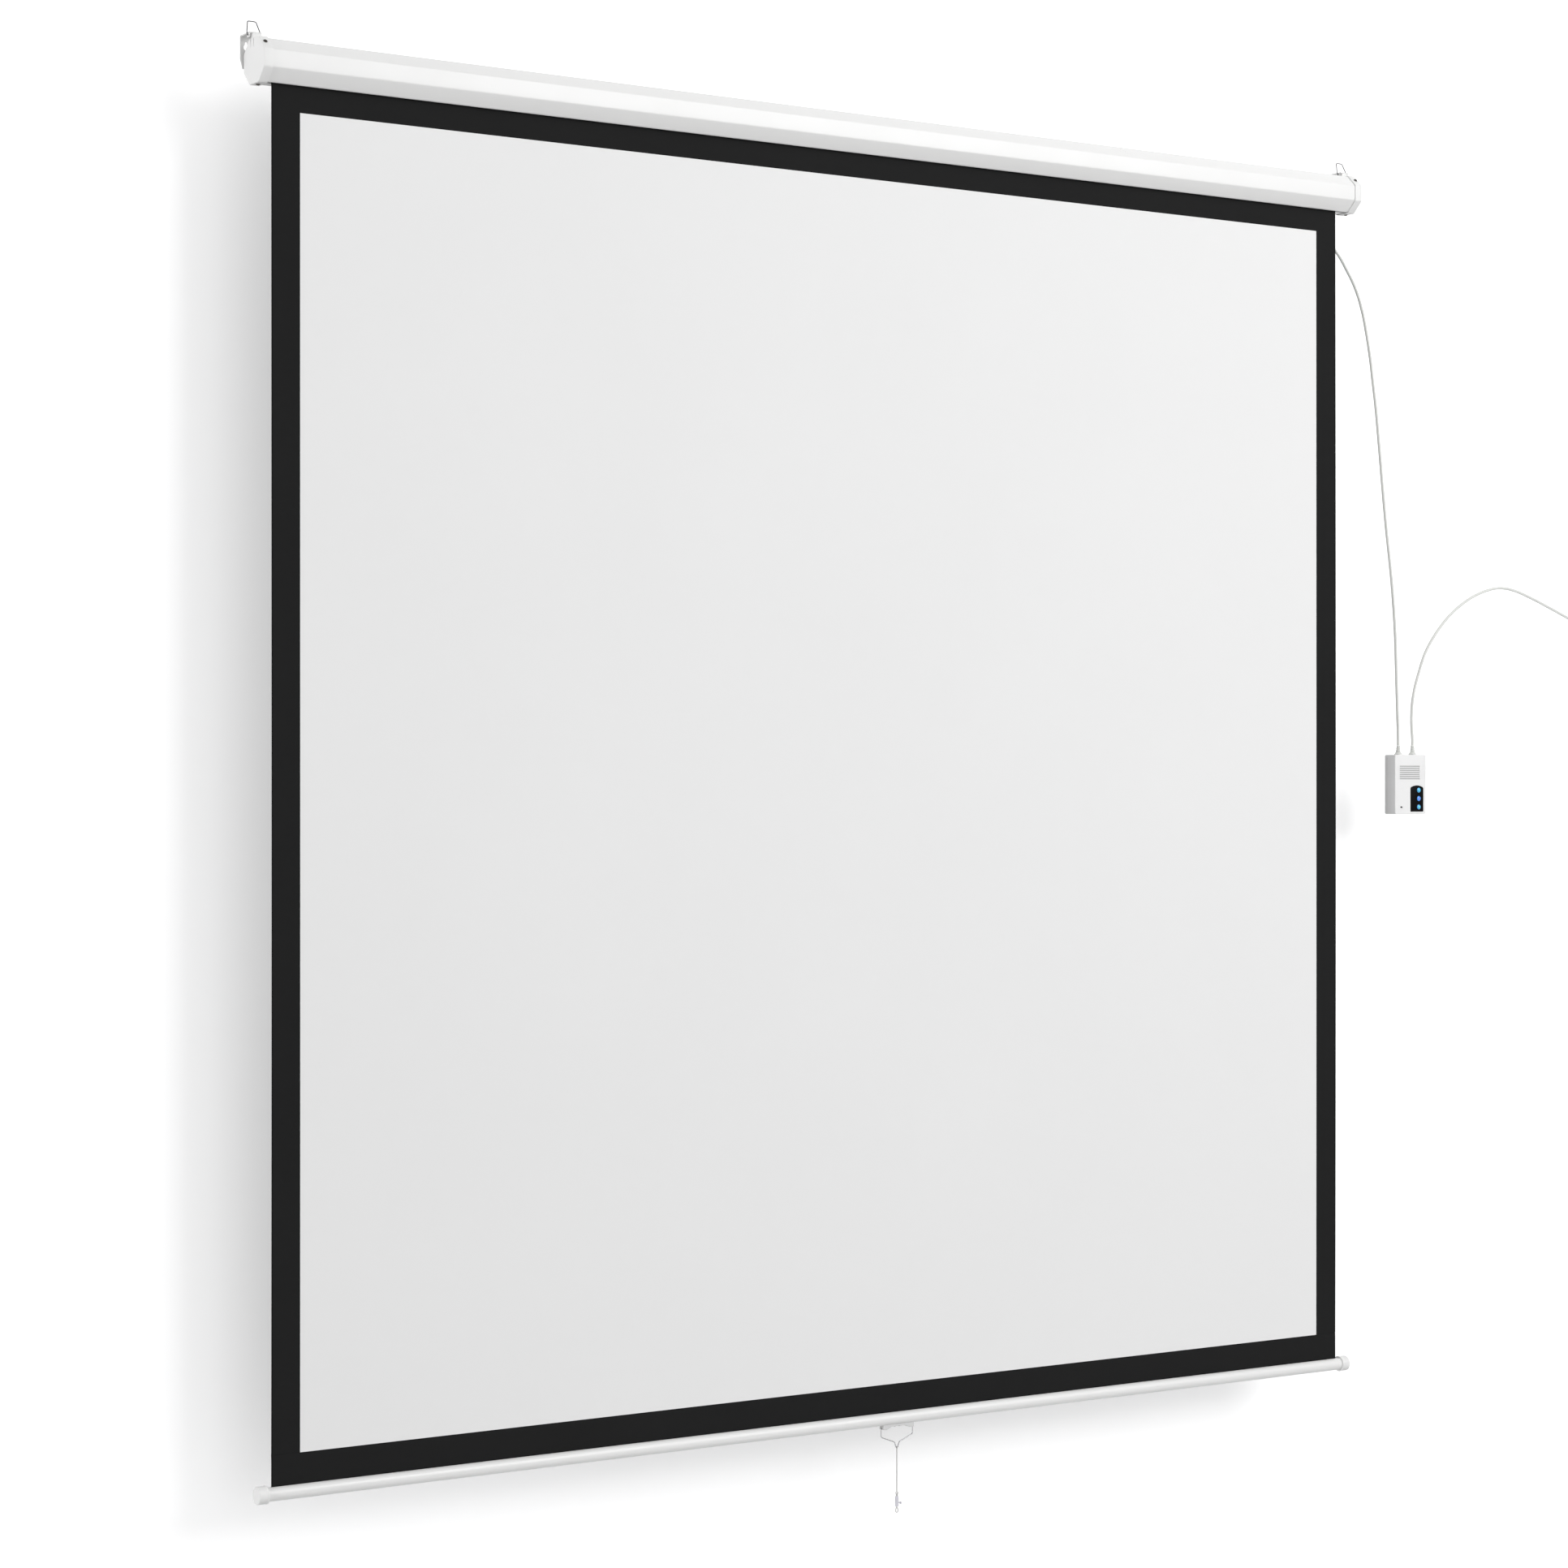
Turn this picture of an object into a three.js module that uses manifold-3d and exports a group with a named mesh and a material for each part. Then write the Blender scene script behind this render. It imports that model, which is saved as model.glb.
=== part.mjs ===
// A wall-hung projector screen: an octagonal casing with a motor roller, a black-bordered screen, a round
// bottom bar with a wire pull handle, and a control box on its lead. Millimetres, +Z up, -Y to the viewer.
// The wall is the plane Y = 0, and the origin is on it, midway between the two keyholes the screen hangs by.
import * as THREE from 'three';
import { mergeVertices } from 'three/addons/utils/BufferGeometryUtils.js';
import Module from 'manifold-3d';

const wasm = await Module();
wasm.setup();

// Clearances and facets
const fit = 0.3; // between neighbouring pieces
const overrun = 2; // how far a cutting tool runs past what it cuts
const weld = 1e-4; // vertices nearer than this are one
const largeSides = 32;
const middleSides = 20;
const smallSides = 12;
const wireSides = 8;
const sheetCurveSteps = 4;
const fineWireSides = 6;
const turnedSides = 16;

// Screen cloth
const screenWidth = 2030;
const screenDrop = 2003; // from the casing's underside to the bottom bar
const screenOffset = -7; // the cloth's middle, from the housing's middle
const sideBorder = 45;
const bottomBorder = 45;
const topBorder = 38; // black strip seen under the casing
const clothThickness = 0.35;
const surfaceThickness = 0.3;

// Casing
const housingPastCloth = 30.65; // housing's end past the cloth's edge, at each side
const casingHeight = 62.6;
const casingDepth = 65.4;
const casingChamfer = 18.5;
const casingWall = 1.2;
const keyholeRise = 24.8; // keyholes above the casing's axis
const slotFront = 4.5; // slot edge in front of the cloth
const slotRear = 4.5;
const slotLip = 3.5;
const chamferInsetShare = 2 - Math.SQRT2; // of the wall, what an inner chamfer leg loses

// End caps
const capFace = 3;
const capRim = 14.5;
const capWall = 1.5;
const capEdge = 0.6;
const slitLength = 13;
const slitWidth = 1.6;
const slitDepth = 1.4;
const slitPitch = 9.5;
const slitRise = 3; // how far the slits run up into the seat

// Hanging brackets
const bracketSheet = 2;
const bracketWidth = 18.6;
const bracketBend = 3;
const bracketInset = 5.2; // bracket's middle, inside the housing's end
const bracketClear = 2; // between the flange and the cap
const tabRise = 8.6; // tab's top above the cap's top
const tabLength = 34;
const flangeDrop = 31; // flange below the keyhole's middle
const flangeTaper = 14;
const flangeToe = 11; // flange's width at its lower end
const keyholeBore = 8.2;
const keyholeSlot = 4.2;
const keyholeSlotRise = 8;
const earDrop = 4.6;
const earLength = 9;
const earSheet = 1.5;

// Wire bails
const bailWire = 1.5;
const bailTop = 13; // across the legs at the top
const bailHeight = 23.2;
const bailShoulder = 5.4; // where the legs start to lean inward
const bailBend = 2;
const bailLean = 20; // degrees back from upright
const bailPivotBack = 28; // pivot in front of the wall
const bailHook = 2; // how far the ends reach inside the ears

// Cap screws
const screwHead = 6.4;
const screwHeadHeight = 1.7;
const screwShank = 2.6;
const screwLength = 5.5;
const screwBladeShare = 0.22; // a blade's half width, of its recess's size
const screwRecess = 3.2;
const screwRecessDepth = 0.9;
const screwInset = 6.5; // screw's middle, inside the housing's end

// Roller
const rollerTube = 29;
const rollerWall = 1;
const turnedEdge = 1; // edges taken off the turned pieces inside
const rollerRoom = 8.4; // room behind the bare roller for the rolled-up cloth
const rollerIdleEnd = 6.5; // tube past the cloth at the idle end
const rollerDriveEnd = 5;
const clothTurns = 2;
const turnPitch = 0.5;
const turnSteps = 24;
const idlerPin = 8;
const idlerFlange = 2;
const idlerPlugLength = 28;
const bushOuter = 17;
const bushLength = 7;

// Motor
const motorCase = 24;
const motorLength = 420;
const motorShaft = 6;
const motorShaftLength = 12;
const driveWheelLength = 10;
const driveLobes = 6;
const driveLobeDepth = 1.6;
const crownFlange = 5;
const crownSleeve = 14;
const motorHeadSize = 29;
const motorHeadLength = 13;
const motorStud = 8;
const motorStudLength = 7;
const holderPlate = 5;
const holderWidth = 34;
const holderHeight = 30;

// Bottom bar
const barTube = 20.5;
const barWall = 1;
const barPastCloth = 23.4; // bar's end past the cloth's edge
const barCap = 25.6;
const barCapLength = 16;
const barCapFace = 2.6;
const barCapEdge = 1.2;
const barCapLip = 26.6;
const barCapLipLength = 2.4;
const barSlot = 2.4;
const hemRod = 6;

// Pull handle
const handlePlace = 70.5; // handle's middle along X
const handleWidth = 61.4;
const handleWire = 1.8;
const handleLeg = 14.6;
const handleHeight = 33.5;
const handleNeckDrop = 24.6;
const handleNeck = 9;
const handleTip = 3.4;
const handleBend = 3;
const handleReach = 5; // how far the ends reach into the clip
const clipDepth = 12;
const clipPlate = 2.2;
const clipLobe = 6;
const clipLobeLength = 9;
const clipLobeRun = 6;
const clipHug = 2.6;
const pivotDrop = 3.6; // handle's pivot under the bar tube
const clipScrewHead = 4.4;
const clipScrewHeight = 1.2;
const clipScrewShank = 2;
const clipScrewPitch = 9.6;

// Pull cord with its toggle and loop
const pullCord = 2;
const pullCordLength = 70;
const pullCordStep = 6;
const knotSize = 6;
const knotStub = 1.6;
const knotStubReach = 4.4;
const knotStubTilt = 36; // degrees
const toggleSize = 5.8;
const toggleLength = 16.6;
const toggleEdge = 1;
const togglePegDrop = 5.5; // peg's middle below the toggle's top
const togglePeg = 2.4;
const togglePegReach = 7.4;
const togglePegBall = 4;
const endLoopWidth = 7.5;
const endLoopHeight = 10;
const endLoopWire = 1.8;
const endLoopBellyShare = 0.62; // of the loop's height, where it is widest

// Control box
const boxWidth = 74.5;
const boxHeight = 106;
const boxDepth = 27;
const boxPastHousing = 159.35; // box's middle, past the housing's end
const boxPlaceZ = -1056.8;
const boxWall = 2;
const boxCorner = 3;
const boxEdge = 0.8;
const boxBackDepth = 5.8;
const louvreCount = 7;
const louvreLength = 49;
const louvreHeight = 1.8;
const louvreDepth = 1.5;
const louvrePitch = 3.7;
const louvreLeft = 11;
const louvreTop = 19.8;
const keypadWidth = 30.9;
const keypadHeight = 46.6;
const keypadArch = 4;
const keypadRight = 6.7; // keypad's edge from the box's right side
const keypadFoot = 4.6; // keypad's lower edge from the box's bottom
const keypadDepth = 1;
const keypadCorner = 1.5;
const archShares = { spring: 0.25, peak: 1.75 }; // of the arch's rise, for its curve's control points
const buttonSize = 8.6;
const buttonPitch = 15;
const buttonProud = 1.3;
const buttonFlange = 1.2;
const buttonFlangeThickness = 1;
const buttonFoot = 8.2; // lowest button's middle above the keypad's lower edge
const buttonRight = 10.8; // buttons' middle from the keypad's right edge
const buttonStem = 4;
const buttonTravel = 1;
const indicatorWidth = 5;
const indicatorHeight = 2.6;
const indicatorLeft = 15;
const indicatorFoot = 12.6;
const indicatorFlange = 1.2;
const boardThickness = 1.6;
const boardSideRoom = 6.25; // board's edge from the box's side
const boardEndRoom = 18; // board's edge from the box's top or bottom
const boardFront = 10.6; // board behind the box's front face
const boardRise = -2;
const postSize = 4;
const postInset = 3.5;
const relayWidth = 19;
const relayHeight = 15;
const relayDepth = 8;
const relayPitch = 24;
const terminalWidth = 34;
const terminalHeight = 8;
const terminalDepth = 8;
const terminalWays = 5;
const terminalBore = 3;
const bossSize = 8;
const upperBossInset = 10; // from the box's top
const lowerBossInset = 8; // from the box's bottom
const lowerBossPlace = -10;
const boxScrewHead = 5.6;
const boxScrewHeadHeight = 1.2;
const boxScrewShank = 2.2;
const boxScrewLength = 9;

// Leads, their strain reliefs and the gland
const leadSize = 5;
const leadSides = 8;
const leadSteps = 76;
const supplySteps = 54;
const reliefPitch = 34.5;
const reliefBase = 14.5;
const reliefBaseHeight = 1.4;
const reliefCone = 8.6;
const reliefConeHeight = 4.6;
const reliefTop = 6.4;
const reliefHeight = 15.8;
const reliefWaist = 0.4; // how far a rib's waist goes in
const reliefRibs = 3;
const ribShares = { low: 0.15, swell: 0.4, fall: 0.75, tail: 0.5 };
const reliefNeck = 7.6;
const reliefCollar = 11;
const reliefCollarThickness = 1.5;
const glandInset = 60.65; // gland's middle, inside the housing's end
const glandBack = 30; // in front of the wall
const glandSize = 10;
const glandHead = 3;
const glandNeck = 7.4;
const glandTip = 7;
const glandTipLength = 5;
const glandNutThickness = 1.6;

// Supply coil, its tie and plug
const coilPitch = 5.5;
const coilMean = 60;
const coilTurns = 5.25;
const coilClimbTurns = 0.5;
const coilExitTurns = 0.25; // past whole turns, so that the lead leaves downwards
const coilSteps = 24;
const coilSides = 6;
const coilPastHousing = 626.35; // coil's first turn, past the housing's end
const coilStartZ = -765;
const leadPlane = 13.5; // leads at the box, in front of the wall
const tieWidth = 6;
const tieSheet = 1.2;
const plugWidth = 35;
const plugThickness = 14;
const plugLength = 34;
const plugShoulder = 11;
const plugNose = 8;
const plugCorner = 3;
const plugEdge = 0.8;
const pinSize = 4;
const pinLength = 19;
const pinPitch = 19;
const pinTipShare = 0.6;

// Places that several pieces share
const housingLength = screenWidth + 2 * housingPastCloth;
const capHeight = casingHeight + 2 * (capWall + fit);
const capDepth = casingDepth + 2 * (capWall + fit);
const capChamfer = casingChamfer + (capWall + fit) * chamferInsetShare;
const axisY = -(bracketSheet + bracketClear + capDepth / 2);
const axisZ = -keyholeRise;
const endX = housingLength / 2;
const glandPlace = endX - glandInset;
const boxPlaceX = endX + boxPastHousing;
const coilStartX = endX + coilPastHousing;
const casingEndX = endX - capFace - fit;
const casingBottom = axisZ - casingHeight / 2;
const casingRear = axisY + casingDepth / 2;
const clothLeft = screenOffset - screenWidth / 2;
const clothRight = screenOffset + screenWidth / 2;
const rollerR = rollerTube / 2;
const wrapR = rollerR + fit + clothTurns * turnPitch + clothThickness;
const rollerY = casingRear - casingWall - rollerR - rollerRoom;
const rollerZ = axisZ;
const clothY = rollerY - wrapR + clothThickness / 2;
const barZ = casingBottom - screenDrop - barTube / 2;
const hemLine = casingBottom - screenDrop + bottomBorder;
const capTop = axisZ + capHeight / 2;
const tabTop = capTop + tabRise;
const bracketX = endX - bracketInset;
const seatLength = bracketInset + bracketWidth / 2 - bailHook - fit; // raised seat under the bracket
const bailPivotZ = tabTop - bracketSheet - earDrop / 2;
const bailBase = bracketWidth + 2 * fit + bailWire;
const pivotZ = barZ - barTube / 2 - pivotDrop;
const cordTopZ = pivotZ - handleHeight - handleWire / 2 - fit;
const boxFront = -boxDepth;
const boxTop = boxPlaceZ + boxHeight / 2;
const boardWidth = boxWidth - 2 * boardSideRoom;
const boardHeight = boxHeight - 2 * boardEndRoom;
const reliefY = -leadPlane;

const enamel = '#f4f4f2';
const plasticWhite = '#ecedeb';
const borderBlack = '#232425';
const steel = '#a9abad';

const group = new THREE.Group();

function addPiece(name, geometry, color, roughness = 0.5, metalness = 0) {
  const material = new THREE.MeshStandardMaterial({ color, roughness, metalness });
  const mesh = new THREE.Mesh(geometry, material);
  mesh.name = name;
  group.add(mesh);
}

function toSolid(geometry) {
  const bare = geometry.clone();
  bare.deleteAttribute('normal');
  bare.deleteAttribute('uv');
  const merged = mergeVertices(bare, weld);
  const vertProperties = Float32Array.from(merged.attributes.position.array);
  const triVerts = Uint32Array.from(merged.index.array);
  return new wasm.Manifold(new wasm.Mesh({ numProp: 3, vertProperties, triVerts }));
}

function toGeometry(solid) {
  const mesh = solid.getMesh();
  const geometry = new THREE.BufferGeometry();
  geometry.setAttribute('position', new THREE.BufferAttribute(mesh.vertProperties, 3));
  geometry.setIndex(new THREE.BufferAttribute(mesh.triVerts, 1));
  geometry.computeVertexNormals();
  return geometry;
}

function join(...geometries) {
  return toGeometry(geometries.map(toSolid).reduce((sum, next) => sum.add(next)));
}

function cut(base, ...tools) {
  return toGeometry(tools.map(toSolid).reduce((rest, tool) => rest.subtract(tool), toSolid(base)));
}

// Block between two corners
function block(x0, x1, y0, y1, z0, z1) {
  const box = new THREE.BoxGeometry(x1 - x0, y1 - y0, z1 - z0);
  return box.translate((x0 + x1) / 2, (y0 + y1) / 2, (z0 + z1) / 2);
}

// Round bars along each axis
function rodX(size, x0, x1, y, z, sides = middleSides) {
  const rod = new THREE.CylinderGeometry(size / 2, size / 2, x1 - x0, sides);
  return rod.rotateZ(-Math.PI / 2).translate((x0 + x1) / 2, y, z);
}

function rodY(size, y0, y1, x, z, sides = middleSides) {
  const rod = new THREE.CylinderGeometry(size / 2, size / 2, y1 - y0, sides);
  return rod.translate(x, (y0 + y1) / 2, z);
}

function rodZ(size, z0, z1, x, y, sides = middleSides) {
  const rod = new THREE.CylinderGeometry(size / 2, size / 2, z1 - z0, sides);
  return rod.rotateX(Math.PI / 2).translate(x, y, (z0 + z1) / 2);
}

// Outline drawn in (Y, Z) and run along X
function prismX(shape, x0, x1, edge = 0) {
  const prism = new THREE.ExtrudeGeometry(shape, extrusion(x1 - x0, edge));
  const turn = new THREE.Matrix4().makeBasis(axis(0, 1, 0), axis(0, 0, 1), axis(1, 0, 0));
  return prism.applyMatrix4(turn).translate(x0 + edge, 0, 0);
}

// Outline drawn in (X, Z) and run along Y
function prismY(shape, y0, y1, edge = 0) {
  const prism = new THREE.ExtrudeGeometry(shape, extrusion(y1 - y0, edge));
  const turn = new THREE.Matrix4().makeBasis(axis(1, 0, 0), axis(0, 0, 1), axis(0, -1, 0));
  return prism.applyMatrix4(turn).translate(0, y1 - edge, 0);
}

// Outline drawn in (X, Y) and run along Z
function prismZ(shape, z0, z1, edge = 0) {
  return new THREE.ExtrudeGeometry(shape, extrusion(z1 - z0, edge)).translate(0, 0, z0 + edge);
}

function extrusion(length, edge) {
  return {
    depth: length - 2 * edge,
    bevelEnabled: edge > 0,
    bevelThickness: edge,
    bevelSize: edge,
    bevelOffset: -edge,
    bevelSegments: 1,
    curveSegments: sheetCurveSteps,
  };
}

function axis(x, y, z) {
  return new THREE.Vector3(x, y, z);
}

// Turned pieces: the profile is a list of [radius, place], running up the outside
function turned(profile, sides) {
  return new THREE.LatheGeometry(profile.map(([r, along]) => new THREE.Vector2(r, along)), sides);
}

function turnedX(profile, y, z, sides = middleSides) {
  return turned(profile, sides).rotateZ(-Math.PI / 2).translate(0, y, z);
}

function turnedZ(profile, x, y, sides = middleSides) {
  return turned(profile, sides).rotateX(Math.PI / 2).translate(x, y, 0);
}

function octagon(depth, height, chamfer, y = axisY, z = axisZ) {
  const [h, v] = [depth / 2, height / 2];
  const corners = [
    [-h, chamfer - v], [chamfer - h, -v], [h - chamfer, -v], [h, chamfer - v],
    [h, v - chamfer], [h - chamfer, v], [chamfer - h, v], [-h, v - chamfer],
  ];
  return new THREE.Shape(corners.map(([across, up]) => new THREE.Vector2(y + across, z + up)));
}

function roundedRectangle(x0, x1, y0, y1, radius) {
  const shape = new THREE.Shape();
  shape.moveTo(x0 + radius, y0);
  shape.absarc(x1 - radius, y0 + radius, radius, -Math.PI / 2, 0);
  shape.absarc(x1 - radius, y1 - radius, radius, 0, Math.PI / 2);
  shape.absarc(x0 + radius, y1 - radius, radius, Math.PI / 2, Math.PI);
  shape.absarc(x0 + radius, y0 + radius, radius, Math.PI, Math.PI * 1.5);
  return shape;
}

// Bent wire through corner points, each corner rounded by the bend, and tighter where the ends hook in
function bentWire(corners, bend, size) {
  const hookBend = size / 2 + fit;
  const path = new THREE.CurvePath();
  let from = corners[0];
  for (let i = 1; i < corners.length - 1; i += 1) {
    const into = corners[i].clone().sub(from);
    const away = corners[i + 1].clone().sub(corners[i]);
    const hooked = i === 1 || i === corners.length - 2;
    const reach = Math.min(hooked ? hookBend : bend, into.length() / 2, away.length() / 2);
    const before = corners[i].clone().sub(into.setLength(reach));
    const after = corners[i].clone().add(away.setLength(reach));
    path.add(new THREE.LineCurve3(from, before));
    path.add(new THREE.QuadraticBezierCurve3(before, corners[i], after));
    from = after;
  }
  path.add(new THREE.LineCurve3(from, corners[corners.length - 1]));
  return tube(path, size, fineWireSides, Math.ceil(path.getLength() / size));
}

function tube(path, size, sides, steps) {
  const section = new THREE.Shape(
    Array.from({ length: sides }, (_, i) => {
      const angle = (2 * Math.PI * i) / sides;
      return new THREE.Vector2(Math.cos(angle), Math.sin(angle)).multiplyScalar(size / 2);
    }),
  );
  return new THREE.ExtrudeGeometry(section, { steps, bevelEnabled: false, extrudePath: path });
}

// Both ends of the housing, as -1 for the left and 1 for the right
const ends = [['left', -1], ['right', 1]];

function between(side, a, b) {
  return [Math.min(side * a, side * b), Math.max(side * a, side * b)];
}

// Cap screws: one square to the front top chamfer, one up into the bottom face
const screwSpots = [
  {
    name: 'upper',
    y: axisY - capDepth / 2 + capChamfer / 2,
    z: axisZ + capHeight / 2 - capChamfer / 2,
    tilt: Math.PI / 4,
  },
  { name: 'lower', y: axisY, z: axisZ - capHeight / 2, tilt: Math.PI },
];

function placeScrew(geometry, side, spot) {
  return geometry.rotateX(spot.tilt).translate(side * (endX - screwInset), spot.y, spot.z);
}

function screwHole(side, spot) {
  const hole = rodZ(screwShank + 2 * fit, -screwLength - overrun, overrun, 0, 0, smallSides);
  return placeScrew(hole, side, spot);
}

function capScrew(side, spot) {
  const [head, shank] = [screwHead / 2, screwShank / 2];
  const profile = [
    [0, -screwLength], [shank / 2, -screwLength], [shank, shank - screwLength], [shank, fit],
    [head, fit], [head, fit + screwHeadHeight / 2], [head - screwHeadHeight / 2, fit + screwHeadHeight],
    [0, fit + screwHeadHeight],
  ];
  const arm = screwRecess / 2;
  const floor = fit + screwHeadHeight - screwRecessDepth;
  const top = fit + screwHeadHeight + overrun;
  const blade = screwRecess * screwBladeShare;
  const screw = cut(
    turnedZ(profile, 0, 0, smallSides),
    block(-arm, arm, -blade / 2, blade / 2, floor, top),
    block(-blade / 2, blade / 2, -arm, arm, floor, top),
  );
  return placeScrew(screw, side, spot);
}

function makeCasing() {
  const innerDepth = casingDepth - 2 * casingWall;
  const innerHeight = casingHeight - 2 * casingWall;
  const innerChamfer = casingChamfer - casingWall * chamferInsetShare;
  const lipTop = casingBottom + casingWall + slotLip;
  const front = clothY - slotFront;
  const rear = clothY + slotRear;
  const shell = cut(
    prismX(octagon(casingDepth, casingHeight, casingChamfer), -casingEndX, casingEndX),
    prismX(octagon(innerDepth, innerHeight, innerChamfer), -casingEndX - overrun, casingEndX + overrun),
  );
  const lipped = join(
    shell,
    block(-casingEndX, casingEndX, front - casingWall, front, casingBottom, lipTop),
    block(-casingEndX, casingEndX, rear, rear + casingWall, casingBottom, lipTop),
  );
  const slotEnd = casingEndX + overrun;
  const slot = block(-slotEnd, slotEnd, front, rear, casingBottom - overrun, lipTop);
  const glandTop = casingBottom + casingWall + overrun;
  const glandHole = rodZ(glandNeck + 2 * fit, casingBottom - overrun, glandTop, glandPlace, -glandBack);
  const holes = ends.flatMap(([, side]) => screwSpots.map((spot) => screwHole(side, spot)));
  addPiece('casing', cut(lipped, slot, glandHole, ...holes), enamel, 0.42, 0.1);
}

function makeEndCap(name, side) {
  const [outerLow, outerHigh] = between(side, endX - capRim, endX);
  const [innerLow, innerHigh] = between(side, endX - capRim - overrun, endX - capFace);
  const [seatLow, seatHigh] = between(side, endX - seatLength, endX);
  const seatTop = tabTop - bracketSheet - fit;
  const seatFront = -tabLength - bracketSheet;
  const seat = block(seatLow, seatHigh, seatFront, axisY + capDepth / 2 - capChamfer, axisZ, seatTop);
  const shell = cut(
    join(prismX(octagon(capDepth, capHeight, capChamfer), outerLow, outerHigh, capEdge), seat),
    prismX(
      octagon(casingDepth + 2 * fit, casingHeight + 2 * fit, casingChamfer + fit * chamferInsetShare),
      innerLow,
      innerHigh,
    ),
  );
  const [slitLow, slitHigh] = between(side, endX - slitDepth, endX + overrun);
  const slits = [0, 1].map((i) => {
    const y = seatFront + slitWidth + i * slitPitch;
    return block(slitLow, slitHigh, y, y + slitWidth, capTop + slitRise - slitLength, capTop + slitRise);
  });
  const holes = screwSpots.map((spot) => screwHole(side, spot));
  addPiece(`${name}_end_cap`, cut(shell, ...slits, ...holes), plasticWhite, 0.5);
}

function makeBracket(name, side) {
  const middle = side * bracketX;
  const [low, high] = [middle - bracketWidth / 2, middle + bracketWidth / 2];
  const profile = new THREE.Shape();
  profile.moveTo(-tabLength, tabTop - bracketSheet);
  profile.lineTo(-tabLength, tabTop);
  profile.absarc(-bracketBend, tabTop - bracketBend, bracketBend, Math.PI / 2, 0, true);
  profile.lineTo(0, -flangeDrop);
  profile.lineTo(-bracketSheet, -flangeDrop);
  profile.absarc(-bracketBend, tabTop - bracketBend, bracketBend - bracketSheet, 0, Math.PI / 2);
  profile.closePath();
  const ears = [low, high - earSheet].map((x) =>
    block(
      x, x + earSheet, -bailPivotBack - earLength / 2, -bailPivotBack + earLength / 2,
      bailPivotZ - earDrop / 2 - bailWire, tabTop - bracketSheet / 2,
    ));
  const corners = [low, high].map((x) => {
    const toe = middle + (Math.sign(x - middle) * flangeToe) / 2;
    const past = x + Math.sign(x - middle) * overrun;
    const corner = new THREE.Shape([
      new THREE.Vector2(x, flangeTaper - flangeDrop),
      new THREE.Vector2(toe, -flangeDrop),
      new THREE.Vector2(toe, -flangeDrop - overrun),
      new THREE.Vector2(past, -flangeDrop - overrun),
      new THREE.Vector2(past, flangeTaper - flangeDrop),
    ]);
    return prismY(corner, -bracketSheet - overrun, overrun);
  });
  const keyhole = [
    rodY(keyholeBore, -bracketSheet - overrun, overrun, middle, 0),
    block(
      middle - keyholeSlot / 2, middle + keyholeSlot / 2, -bracketSheet - overrun, overrun, 0,
      keyholeSlotRise,
    ),
  ];
  const bore = bailWire + 2 * fit;
  const pivot = rodX(bore, low - overrun, high + overrun, -bailPivotBack, bailPivotZ, smallSides);
  const bracket = cut(join(prismX(profile, low, high), ...ears), ...corners, ...keyhole, pivot);
  addPiece(`${name}_bracket`, bracket, enamel, 0.4, 0.2);
}

function makeBail(name, side) {
  const [foot, head, inner] = [bailBase / 2, bailTop / 2, bracketWidth / 2 - bailHook];
  const corners = [
    axis(-inner, 0, 0), axis(-foot, 0, 0), axis(-foot, 0, bailShoulder), axis(-head, 0, bailHeight),
    axis(head, 0, bailHeight), axis(foot, 0, bailShoulder), axis(foot, 0, 0), axis(inner, 0, 0),
  ];
  const wire = bentWire(corners, bailBend, bailWire);
  wire.rotateX(THREE.MathUtils.degToRad(-bailLean)).translate(side * bracketX, -bailPivotBack, bailPivotZ);
  addPiece(`${name}_bail`, wire, steel, 0.3, 0.9);
}

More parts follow.
